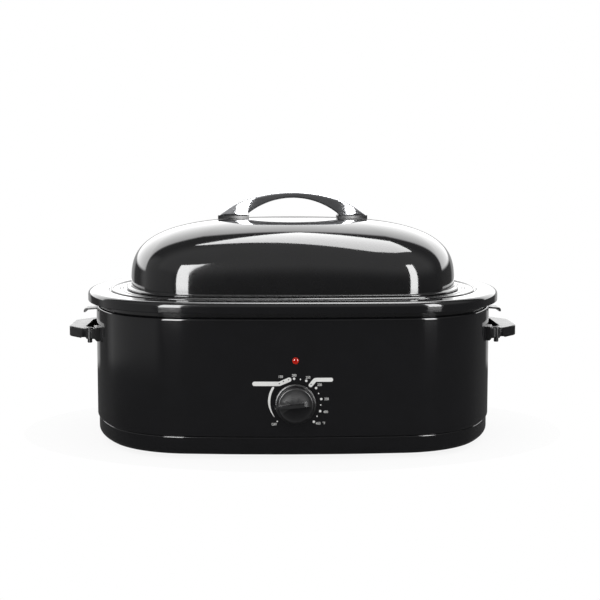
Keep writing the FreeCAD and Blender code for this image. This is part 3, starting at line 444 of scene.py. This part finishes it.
OVAL, OUTWARD = oval(CASING_LENGTH / 2, CASING_DEPTH / 2, CORNER_RADIUS, END_RADIUS, SIDE_RADIUS)


def front_skin(x):
    """Depth y of the casing's front at x: the front arc of the oval."""
    return SIDE_RADIUS - CASING_DEPTH / 2 - np.sqrt(SIDE_RADIUS ** 2 - x ** 2)


def rounded(corners, closed=True, steps=7):
    """Path through corners (offset, z, radius) as complex points. Each corner is an arc at a tangent to its runs,
    and a point held close to each arc's end keeps the run flat."""
    places = [complex(corner[0], corner[1]) for corner in corners]
    count = len(corners)
    arcs = []
    for index, here in enumerate(places):
        radius = corners[index][2] if len(corners[index]) > 2 else 0.0
        at_end = not closed and index in (0, count - 1)
        if radius <= 0 or at_end:
            arcs.append(np.array([here]))
            continue
        before = places[index - 1] - here
        after = places[(index + 1) % count] - here
        before /= abs(before)
        after /= abs(after)
        half = math.acos(max(-1.0, min(1.0, (before * after.conjugate()).real))) / 2
        if half > math.pi / 2 - 1e-4:
            arcs.append(np.array([here]))
            continue
        inward = (before + after) / abs(before + after)
        centre = here + inward * radius / math.sin(half)
        start = here + before * radius / math.tan(half) - centre
        end = here + after * radius / math.tan(half) - centre
        turn = np.angle(end / start)
        arcs.append(centre + start * np.exp(1j * turn * np.linspace(0, 1, steps)))
    path = []
    for index, arc in enumerate(arcs):
        path.append(arc)
        if index == count - 1 and not closed:
            break
        run = arcs[(index + 1) % count][0] - arc[-1]
        step = min(HOLD, abs(run) * 0.25)
        if step > 1e-3:
            path.append(np.array([arc[-1] + run / abs(run) * step, arc[-1] + run - run / abs(run) * step]))
    return np.concatenate(path)


def bent_sheet(path, thickness):
    """Corners of a bent sheet: those given, and the same one thickness to the left of the way they run."""
    places = [complex(corner[0], corner[1]) for corner in path]
    last = len(path) - 1
    near, far = [], []
    for index, here in enumerate(places):
        radius = path[index][2] if len(path[index]) > 2 else 0.0
        before = here - places[index - 1] if index > 0 else places[1] - here
        after = places[index + 1] - here if index < last else before
        before /= abs(before)
        after /= abs(after)
        shift = (before + after) * 1j * thickness / (1 + (before * after.conjugate()).real)
        turn = (before.conjugate() * after).imag
        if index in (0, last):
            near.append((here.real, here.imag, thickness * SHEET_EDGE))
            far.append(((here + shift).real, (here + shift).imag, thickness * SHEET_EDGE))
            continue
        inner = max(radius - math.copysign(thickness, turn), 0.15) if radius else 0.15
        near.append((here.real, here.imag, max(radius, 0.15)))
        far.append(((here + shift).real, (here + shift).imag, inner))
    return near + far[::-1]


# Meshes

def surface(name, points, rows_close=False):
    """Mesh over an array (rows, columns, 3) in millimetres. Columns close on themselves, rows do where asked,
    and points that coincide, such as a pole's, become one."""
    rows, columns = points.shape[:2]
    index = np.arange(rows * columns).reshape(rows, columns)
    index = np.hstack([index, index[:, :1]])
    if rows_close:
        index = np.vstack([index, index[:1]])
    cells = np.stack([index[:-1, :-1], index[:-1, 1:], index[1:, 1:], index[1:, :-1]], axis=-1)
    mesh = bpy.data.meshes.new(name)
    mesh.from_pydata((points.reshape(-1, 3) * MM).tolist(), [], cells.reshape(-1, 4).tolist())
    close_up(mesh)
    return mesh


def close_up(mesh):
    """Joins coinciding points, turns the faces outwards and shades them smooth."""
    work = bmesh.new()
    work.from_mesh(mesh)
    bmesh.ops.remove_doubles(work, verts=work.verts, dist=WELD * MM)
    bmesh.ops.recalc_face_normals(work, faces=work.faces)
    work.to_mesh(mesh)
    work.free()
    mesh.shade_smooth()


def carried_round(path, scale=1.0):
    """Path of complex (offset, z) carried round the oval: each point lies at its offset along the oval's
    outward direction, all scaled about the middle by a factor that may differ from point to point."""
    scale = np.broadcast_to(np.asarray(scale, dtype=float), path.shape)
    plan = (OVAL[None, :] + path.real[:, None] * OUTWARD[None, :]) * scale[:, None]
    height = np.broadcast_to(path.imag[:, None], plan.shape)
    return np.stack([plan.real, plan.imag, height], axis=-1)


def turned(path, centre, axis, side, steps=64):
    """Path of complex (radius, height) turned about an axis:
    centre + height * axis + radius * (cos * side + sin * across)."""
    angle = np.linspace(0, 2 * math.pi, steps, endpoint=False)
    axis, side = np.array(axis, dtype=float), np.array(side, dtype=float)
    across = np.cross(axis, side)
    spoke = np.cos(angle)[:, None] * side + np.sin(angle)[:, None] * across
    return np.array(centre) + path.imag[:, None, None] * axis + path.real[:, None, None] * spoke[None]


def piece(mesh, body, material, *nodes):
    """Object for a finished mesh that rides on a body and stands for the named nodes."""
    made = bpy.data.objects.new(mesh.name, mesh)
    bpy.context.scene.collection.objects.link(made)
    mesh.materials.clear()
    mesh.materials.append(material)
    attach(made, body)
    if nodes:
        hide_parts(*nodes)
    return made


def joined_copy(node, material, sharp=32):
    """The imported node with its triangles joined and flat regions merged, smooth below a sharp angle."""
    mesh = frame["nodes"][node].data.copy()
    mesh.name = node + "_smooth"
    work = bmesh.new()
    work.from_mesh(mesh)
    bmesh.ops.remove_doubles(work, verts=work.verts, dist=WELD * MM)
    bmesh.ops.dissolve_limit(work, angle_limit=math.radians(0.4), verts=work.verts, edges=work.edges)
    work.to_mesh(mesh)
    work.free()
    mesh.shade_smooth()
    mesh.set_sharp_from_angle(angle=math.radians(sharp))
    made = piece(mesh, BODY_OF[node], material, node)
    made.modifiers.new("even_shading", "WEIGHTED_NORMAL").keep_sharp = True


# Housing

def casing_wall():
    """Casing sheet: turned-in flanges above and below an upright wall."""
    low, high = levels("outer_casing")
    path = [(-10, low), (0, low, 2.5), (0, high, 3.0), (-10, high)]
    points = carried_round(rounded(bent_sheet(path, CASING_SHEET)))
    piece(surface("casing_wall", points, True), "housing", BAKED, "outer_casing")


def rim():
    """Rim collar: rounded skirt, broad top and recessed shelf."""
    low, high = levels("rim_collar")
    shelf = high - SHELF_STEP
    path = [
        (COLLAR_OVERHANG, low),
        (COLLAR_OVERHANG, high, COLLAR_EDGE),
        (COLLAR_SHELF, high, 2),
        (COLLAR_SHELF - SHELF_STEP, shelf, 2),
        (LINER_OFFSET + 3, shelf),
    ]
    points = carried_round(rounded(bent_sheet(path, COLLAR_SHEET)))
    piece(surface("rim", points, True), "housing", BAKED, "rim_collar")


def with_floor(path, floor_offset):
    """Path and scales for a shell whose first and last points are floors: each is repeated in rings that shrink
    to a pole."""
    rings = np.array([0.0, 0.3, 0.6, 0.85])
    first = np.full(len(rings), complex(floor_offset, path[0].imag))
    last = np.full(len(rings), complex(floor_offset, path[-1].imag))
    full = np.concatenate([first, path, last])
    scale = np.concatenate([rings, np.ones(len(path)), rings[::-1]])
    return full, scale


def well():
    """Heating well: floor, wall and the flange that turns down onto the casing."""
    low, high = levels("well_liner")
    neck_low = levels("outer_casing")[1]
    edge = LINER_OFFSET - WELL_CORNER - 1
    outer = [
        (edge, low),
        (LINER_OFFSET, low, WELL_CORNER),
        (LINER_OFFSET, high - LINER_SHEET, 2),
        (NECK_OFFSET, high - LINER_SHEET, 1.5),
        (NECK_OFFSET, neck_low),
    ]
    path = rounded(bent_sheet(outer, LINER_SHEET), closed=False)
    full, scale = with_floor(path, edge)
    piece(surface("well", carried_round(full, scale)), "housing", ENAMEL, "well_liner")


def pan():
    """Roasting pan: floor, drafted wall, flange with a locating ridge and a rolled edge."""
    low = levels("roasting_pan")[0]
    seat = levels("rim_collar")[1] - SHELF_STEP + 0.3
    top = seat + PAN_SHEET
    foot = PAN_MOUTH - PAN_DRAFT
    edge = foot - PAN_CORNER - 1
    bead = 1.3
    corners = [
        (edge, low),
        (foot, low, PAN_CORNER),
        (PAN_MOUTH, seat, 3),
        (PAN_EDGE, seat, 0.3),
        (PAN_EDGE + bead, seat, bead * 0.99),
        (PAN_EDGE + bead, seat + 2 * bead, bead * 0.99),
        (PAN_EDGE - bead, seat + 2 * bead, bead * 0.99),
        (PAN_EDGE - bead - 0.4, top, 0.5),
        (PAN_RIDGE + PAN_RIDGE_HALF, top, 0.8),
        (PAN_RIDGE + PAN_RIDGE_HALF / 2, top + PAN_RIDGE_HEIGHT, 0.8),
        (PAN_RIDGE - PAN_RIDGE_HALF / 2, top + PAN_RIDGE_HEIGHT, 0.8),
        (PAN_RIDGE - PAN_RIDGE_HALF, top, 0.8),
        (PAN_MOUTH - PAN_SHEET, top, 4.2),
        (foot - PAN_SHEET, low + PAN_SHEET, PAN_CORNER - PAN_SHEET),
        (edge, low + PAN_SHEET),
    ]
    full, scale = with_floor(rounded(corners, closed=False), edge)
    piece(surface("pan", carried_round(full, scale)), "pan", ENAMEL, "roasting_pan")


# Lid

def dome_oval(inset, scale):
    """Oval of the dome at one scale t: the lid wall's at t = 1, and each radius grows towards its rounder value at
    the crown as 1 - t^4 does, in the inverse, so that bends change evenly."""
    offset = LID_WALL - inset
    rounder = 1 - scale ** LID_ROUNDING
    sizes = [(CASING_LENGTH / 2 + offset) * scale, (CASING_DEPTH / 2 + offset) * scale]
    radii = ((CORNER_RADIUS, LID_TOP_CORNER), (END_RADIUS, LID_TOP_END), (SIDE_RADIUS, LID_TOP_SIDE))
    for wall, crown in radii:
        sizes.append(scale / ((1 - rounder) / (wall + offset) + rounder / (crown - inset)))
    return oval(*sizes)[0]


def dome(inset, steps=64):
    """Dome from crown to wall: scale t = cos(a)^(2/n), height = shoulder + rise * sin(a)^(2/n), with the angle a
    closer spaced towards both ends."""
    crown = levels("lid_shell")[1]
    angle = math.pi / 4 * (1 + np.cos(np.linspace(0, math.pi, steps)))
    power = 2 / LID_FULLNESS
    scale = np.clip(np.cos(angle), 0, 1) ** power
    height = LID_SHOULDER + (crown - LID_SHOULDER - inset) * np.sin(angle) ** power
    smallest = 0.01
    plan = np.stack([dome_oval(inset, max(t, smallest)) * t / max(t, smallest) for t in scale])
    return np.stack([plan.real, plan.imag, np.broadcast_to(height[:, None], plan.shape)], axis=-1)


def lid():
    """Domed lid: outer dome, upright wall, out-turned foot with a rolled bead, and the inner skin back to
    the crown."""
    low = levels("lid_shell")[0]
    centre = complex(LID_FOOT - LID_BEAD, low + LID_BEAD)
    wall = rounded([
        (LID_WALL, LID_SHOULDER),
        (LID_WALL, centre.imag + 0.7, 1.8),
        (centre.real - 1.2, centre.imag + 0.7),
    ], closed=False)[1:]
    rolled = centre + LID_BEAD * np.exp(1j * np.radians(np.linspace(140, -150, 18)))
    under = rounded([
        (centre.real - 1.3, centre.imag - 0.6),
        (LID_WALL - LID_SHEET, centre.imag - 0.6, 3),
        (LID_WALL - LID_SHEET, LID_SHOULDER),
    ], closed=False)[:-1]
    skirt = carried_round(np.concatenate([wall, rolled, under]))
    points = np.concatenate([dome(0.0), skirt, dome(LID_SHEET)[::-1]])
    piece(surface("lid", points), "lid", ENAMEL, "lid_shell")


def lid_handle():
    """Arched chrome strap, section by section along x. The top follows three arcs, the underside one arc and then
    the seat. The half width runs straight and then in on an arc to a point, and the section's corners are
    round."""
    seat, top = levels("lid_handle")
    turn = math.radians(HANDLE_TURN)
    shoulder = (HANDLE_OUTER - HANDLE_SHOULDER) * np.array([math.sin(turn), math.cos(turn)])
    shoulder += np.array([0, top - HANDLE_OUTER])
    tip = HANDLE_STRAIGHT + math.sqrt(HANDLE_TAPER ** 2 - (HANDLE_TAPER - HANDLE_HALF_WIDTH) ** 2)
    reach = np.concatenate([
        np.linspace(0, HANDLE_HEEL, 34),
        HANDLE_HEEL + np.array([0.01, 0.5]),
        tip - (tip - HANDLE_HEEL - 1) * np.linspace(1, 0.02, 24) ** 1.4,
    ])
    outer = np.where(
        reach < HANDLE_OUTER * math.sin(turn),
        top - HANDLE_OUTER + np.sqrt(HANDLE_OUTER ** 2 - reach ** 2),
        shoulder[1] + np.sqrt(HANDLE_SHOULDER ** 2 - (reach - shoulder[0]) ** 2),
    )
    arch = np.sqrt(HANDLE_INNER ** 2 - np.minimum(reach, HANDLE_HEEL) ** 2)
    inner = np.where(reach > HANDLE_HEEL, seat, top - HANDLE_THICKNESS - HANDLE_INNER + arch)
    drawn = np.maximum(reach - HANDLE_STRAIGHT, 0)
    half = HANDLE_HALF_WIDTH - HANDLE_TAPER + np.sqrt(HANDLE_TAPER ** 2 - drawn ** 2)
    edge = np.minimum(HANDLE_EDGE, np.minimum(half * 0.7, (outer - inner) * 0.4))
    quarter = np.radians(np.linspace(0, 90, 7))
    corners = []
    for first, across, upper in ((0, 1, 1), (90, -1, 1), (180, -1, 0), (270, 1, 0)):
        spoke = np.exp(1j * (quarter + math.radians(first)))
        level = outer - edge if upper else inner + edge
        corners.append(across * (half - edge)[:, None] + 1j * level[:, None] + edge[:, None] * spoke[None])
    section = np.concatenate(corners, axis=1)
    along = np.broadcast_to(reach[:, None], section.shape)
    right = np.stack([along, section.real, section.imag], axis=-1)
    point = np.broadcast_to(np.array([tip, 0, seat]), (1, section.shape[1], 3))
    right = np.concatenate([right, point])
    left = right[:0:-1] * np.array([-1, 1, 1])
    mesh = surface("lid_strap", np.concatenate([left, right]))
    mesh.set_sharp_from_angle(angle=math.radians(50))
    piece(mesh, "lid", CHROME, "lid_handle")


# Dial

def on_front(name, flat, faces, rise=INK_RISE):
    """Flat outline points (x, z) laid on the casing's front, a little proud of it."""
    x, z = flat[:, 0], flat[:, 1]
    points = np.stack([x, front_skin(x) - rise, z], axis=-1) * MM
    mesh = bpy.data.meshes.new(name)
    mesh.from_pydata(points.tolist(), [], faces)
    return mesh


def around_knob(radius, degrees):
    """Point at a radius and angle round the knob as complex x + z i."""
    return complex(KNOB_X, KNOB_Z) + radius * np.exp(1j * np.radians(degrees))


def disc(centre, radius, steps=20):
    """Outline of a dot as complex points."""
    return centre + radius * np.exp(1j * np.linspace(0, 2 * math.pi, steps, endpoint=False))


def ink(name, outlines, material=INK, rise=INK_RISE):
    """One printed piece from closed outlines of complex x + z i, each a face."""
    points = np.concatenate(outlines)
    ends = np.cumsum([len(outline) for outline in outlines])
    faces = [list(range(end - len(outline), end)) for end, outline in zip(ends, outlines)]
    mesh = on_front(name, np.stack([points.real, points.imag], axis=-1), faces, rise)
    facing_front(mesh)
    piece(mesh, "housing", material)


def ribbon(name, lines):
    """Printed lines of a varying width: each is a centre line of complex points with its half widths, and its two
    edges lie at a right angle to it."""
    points, faces = [], []
    for centre, half in lines:
        along = np.gradient(centre)
        side = 1j * along / np.abs(along) * half
        count = len(points)
        points += [*(centre + side), *(centre - side)]
        row = np.arange(len(centre) - 1) + count
        faces += np.stack([row, row + 1, row + 1 + len(centre), row + len(centre)], axis=-1).tolist()
    flat = np.array(points)
    mesh = on_front(name, np.stack([flat.real, flat.imag], axis=-1), faces)
    facing_front(mesh)
    piece(mesh, "housing", INK)


def band(path, thickness):
    """Centre line and half widths of a bent band with round ends, a point every half millimetre or closer."""
    centre = rounded([(KNOB_X + x, KNOB_Z + z, thickness * 0.6) for x, z in path], closed=False, steps=9)
    length = np.concatenate([[0], np.cumsum(np.abs(np.diff(centre)))])
    half = thickness / 2
    turn = half * (1 - np.cos(np.radians(np.linspace(3, 90, 12))))
    total = length[-1]
    places = np.concatenate([turn, np.arange(half, total - half, 0.5)[1:], total - turn[::-1]])
    line = np.interp(places, length, centre.real) + 1j * np.interp(places, length, centre.imag)
    reach = np.minimum(np.minimum(places, total - places), half)
    return line, np.sqrt(half ** 2 - (half - reach) ** 2)


def facing_front(mesh):
    """Turns faces that look backwards, so that the print faces the front, and splits them into triangles."""
    work = bmesh.new()
    work.from_mesh(mesh)
    work.normal_update()
    bmesh.ops.reverse_faces(work, faces=[face for face in work.faces if face.normal.y > 0])
    bmesh.ops.triangulate(work, faces=work.faces)
    work.to_mesh(mesh)
    work.free()


def lettering(name, words, centre, height):
    """Word or number printed round a centre point, as tall as given."""
    curve = bpy.data.curves.new(name, "FONT")
    curve.body = words
    curve.align_x = "CENTER"
    curve.align_y = "CENTER"
    curve.size = height / CAPITAL_SHARE * MM
    holder = bpy.data.objects.new(name, curve)
    bpy.context.scene.collection.objects.link(holder)
    mesh = bpy.data.meshes.new_from_object(holder)
    bpy.data.objects.remove(holder)
    flat = np.empty(len(mesh.vertices) * 3)
    mesh.vertices.foreach_get("co", flat)
    flat = flat.reshape(-1, 3) / MM
    x, z = centre.real + flat[:, 0] * TEXT_NARROWING, centre.imag + flat[:, 1]
    points = np.stack([x, front_skin(x) - INK_RISE, z], axis=-1) * MM
    mesh.vertices.foreach_set("co", points.ravel())
    mesh.name = name
    facing_front(mesh)
    piece(mesh, "housing", INK)


def dial():
    """Printed temperature scale: numbers with dots, a tapered sweep and two bands without words."""
    centre = complex(KNOB_X, KNOB_Z)
    for label, place in LABELS.items():
        name = "dial_unit" if label == "°F" else "dial_" + label
        lettering(name, label, centre + complex(*place), DIAL_TEXT_HEIGHT)
    dots = [disc(centre + complex(*place), LARGE_DOT) for place in LARGE_DOTS]
    dots += [disc(centre + complex(*place), SMALL_DOT) for place in SMALL_DOTS]
    ink("dial_dots", dots)
    ribbon("dial_bands", [band(LEFT_BAND, LEFT_BAND_WIDTH), band(RIGHT_BAND, RIGHT_BAND_WIDTH)])
    marks = [disc(centre + complex(*place), BAND_DOT) for place in LEFT_BAND_DOTS + RIGHT_BAND_DOTS]
    ink("dial_band_marks", marks, dark_ink(), 2 * INK_RISE)
    sweep = np.linspace(0, 1, 40)
    round_start = np.sqrt(1 - np.clip(1 - sweep / 0.06, 0, 1) ** 2)
    taper = 1 - 0.85 * np.clip(sweep - 0.45, 0, 1) ** 1.3 / 0.46
    radius = np.interp(sweep, [0, 0.5, 1], SWEEP_RADII)
    line = around_knob(radius, SWEEP_START + SWEEP_TURN * sweep)
    ribbon("dial_sweep", [(line, SWEEP_HALF_WIDTH * round_start * taper)])


# Lamp

def lens():
    """Jewel of the lamp: a half ellipse in front of a short rim, and the hollow stem through the casing."""
    low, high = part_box("indicator_lens")
    middle = (low[2] + high[2]) / 2 / MM
    radius = (high[0] - low[0]) / 2 / MM - LENS_INSET
    rise = -CASING_DEPTH / 2 - low[1] / MM
    angle = np.radians(np.linspace(90, 0, 14))
    jewel = (radius - 0.2) * np.cos(angle) + 1j * (LENS_RIM + (rise - LENS_RIM) * np.sin(angle))
    jewel[0] = 1j * rise
    behind = rounded([
        (radius, 0.7, 0.2),
        (radius, 0.1, 0.1),
        (LENS_STEM_RADIUS, 0.1, 0.1),
        (LENS_STEM_RADIUS, -LENS_STEM, 0.2),
        (LENS_BORE_RADIUS, -LENS_STEM, 0.2),
        (LENS_BORE_RADIUS, -0.5, 0.3),
        (0.0, -0.5),
    ], closed=False, steps=3)
    path = np.concatenate([jewel, behind])
    points = turned(path, (0, -CASING_DEPTH / 2, middle), (0, -1, 0), (1, 0, 0), 48)
    piece(surface("lens", points), "housing", red_lens(), "indicator_lens")


# Stage, lamps and camera

def softbox(name, place, turn, size, radiance):
    """Rectangular lamp of an even brightness that only gloss sees."""
    data = bpy.data.lights.new(name, "AREA")
    data.shape = "RECTANGLE"
    data.size, data.size_y = size
    data.energy = radiance * math.pi * size[0] * size[1]
    lamp = bpy.data.objects.new(name, data)
    lamp.location = place
    lamp.rotation_euler = [math.radians(angle) for angle in turn]
    lamp.visible_diffuse = False
    bpy.context.scene.collection.objects.link(lamp)


def world():
    """Studio as gloss sees it: bright behind the object, a dim wall on the left, dark low in front and softly lit
    higher up. Matt surfaces get a plain light, and the camera sees plain white."""
    made = bpy.data.worlds.new("studio")
    bpy.context.scene.world = made
    made.use_nodes = True
    tree = made.node_tree
    background = tree.nodes["Background"]
    direction = add(tree, "ShaderNodeTexCoord").outputs["Generated"]
    split = add(tree, "ShaderNodeSeparateXYZ", {"Vector": direction})
    across, depth, height = split.outputs["X"], split.outputs["Y"], split.outputs["Z"]

    def ramp(value, low, high):
        inputs = {"Value": value, "From Min": low, "From Max": high}
        return add(tree, "ShaderNodeMapRange", inputs, interpolation_type="SMOOTHSTEP").outputs[0]

    def combine(operation, first, second):
        return add(tree, "ShaderNodeMath", {0: first, 1: second}, operation=operation).outputs[0]

    above_floor = ramp(height, -0.156, -0.146)
    lit = combine("MULTIPLY", ramp(height, 0.02, 0.5), ramp(depth, 0.45, -0.1))
    front = combine("ADD", combine("MULTIPLY", lit, FRONT_LIFT), FRONT_LEVEL)
    back = combine("MULTIPLY", ramp(depth, 0.6, 0.68), ramp(height, 0.04, 0.1))
    behind = combine("MULTIPLY", back, BEHIND_LEVEL)
    left = combine("MULTIPLY", ramp(across, -0.6, -0.8), above_floor)
    wall = combine("MULTIPLY", left, WALL_LEVEL)
    horizon = combine("MULTIPLY", ramp(depth, 0.86, 0.92), above_floor)
    far = combine("MULTIPLY", horizon, FAR_LEVEL)
    seen = combine("MAXIMUM", combine("MAXIMUM", front, behind), combine("MAXIMUM", wall, far))
    rays = add(tree, "ShaderNodeLightPath")
    glossy = rays.outputs["Is Glossy Ray"]
    clear = combine("MAXIMUM", rays.outputs["Is Camera Ray"], rays.outputs["Is Transmission Ray"])
    level = add(tree, "ShaderNodeMix", {0: glossy, 2: PLAIN_LEVEL, 3: seen}).outputs[0]
    tree.links.new(combine("MAXIMUM", level, clear), background.inputs["Strength"])
    background.inputs["Color"].default_value = (1, 1, 1, 1)


def floor():
    """Pale oval floor, in metres. It keeps the shadow, is nearly white to the camera and isn't seen in the
    gloss."""
    angle = np.linspace(0, 2 * math.pi, 96, endpoint=False)
    along, deep = FLOOR_HALF_AXES
    edge = np.stack([along * np.cos(angle), deep * np.sin(angle), np.full(96, -0.0002)], axis=-1)
    mesh = bpy.data.meshes.new("floor")
    mesh.from_pydata(edge.tolist(), [], [list(range(96))])
    made = bpy.data.objects.new("floor", mesh)
    bpy.context.scene.collection.objects.link(made)
    material, tree, shader, _ = surface_material("painted_floor", "#f4f4f4", 0.9)
    white = add(tree, "ShaderNodeEmission", {"Color": (1, 1, 1, 1), "Strength": FLOOR_LEVEL})
    path = add(tree, "ShaderNodeLightPath")
    inputs = {0: path.outputs["Is Camera Ray"], 1: FLOOR_SHARE}
    share = add(tree, "ShaderNodeMath", inputs, operation="MULTIPLY")
    mix = add(tree, "ShaderNodeMixShader", {0: share.outputs[0], 1: shader.outputs[0], 2: white.outputs[0]})
    tree.links.new(mix.outputs[0], tree.nodes["Material Output"].inputs["Surface"])
    mesh.materials.append(material)
    made.visible_glossy = False


def camera():
    """The photograph's camera, turned round the object by its yaw."""
    data = bpy.data.cameras.new("photo_camera")
    data.sensor_width = SENSOR_WIDTH
    data.lens = FOCAL_PIXELS / IMAGE_WIDTH * SENSOR_WIDTH
    data.shift_x = (IMAGE_WIDTH / 2 - CENTRE_PIXEL) / IMAGE_WIDTH
    made = bpy.data.objects.new("photo_camera", data)
    turn = Matrix.Rotation(-OBJECT_YAW, 4, "Z")
    made.location = turn @ Vector((0, -CAMERA_DISTANCE * MM, CAMERA_HEIGHT * MM))
    made.rotation_euler = (math.pi / 2 - CAMERA_PITCH, 0, -OBJECT_YAW)
    bpy.context.scene.collection.objects.link(made)
    bpy.context.scene.camera = made


def lamps():
    """Softboxes that show in the gloss: one overhead towards the back, and one on each side of the camera."""
    for name, settings in SOFTBOXES.items():
        softbox(name, *settings)


def plain_nodes():
    """Materials for the nodes that are shown as they were packed, and joined copies of those seen from outside."""
    dull = {
        "tie_posts": ZINC,
        "base_screws": ZINC,
        "heat_shield": aluminised_sheet(),
        "heating_band": stained_steel(),
        "band_clips": ZINC,
        "insulation_blanket": glass_fibre(),
        "thermostat_bracket": ZINC,
        "thermostat_body": ceramic(),
        "thermostat_screws": ZINC,
        "thermostat_shaft": ZINC,
        "indicator_lamp": lamp_glass(),
        "lens_clip": ZINC,
        "terminal_block": ceramic(),
        "lead_wires": braided_sleeve(),
        "side_handle_screws": ZINC,
        "lid_handle_washers": ZINC,
        "lid_handle_screws": ZINC,
    }
    for node, material in dull.items():
        for slot in frame["nodes"][node].material_slots:
            slot.material = material
    soft_rubber = rubber()
    joined_copy("base_pan", BAKED)
    joined_copy("rubber_feet", soft_rubber)
    joined_copy("cord_gland", soft_rubber)
    for node in (
        "side_handle_right",
        "side_handle_left",
        "lid_rest_right",
        "lid_rest_left",
        "lid_handle_pads",
        "control_knob",
    ):
        joined_copy(node, PHENOLIC)
    joined_copy("roasting_rack", CHROME, 60)


camera()
world()
floor()
lamps()
casing_wall()
rim()
well()
pan()
lid()
lid_handle()
dial()
lens()
plain_nodes()

bpy.context.scene.view_settings.view_transform = "Standard"
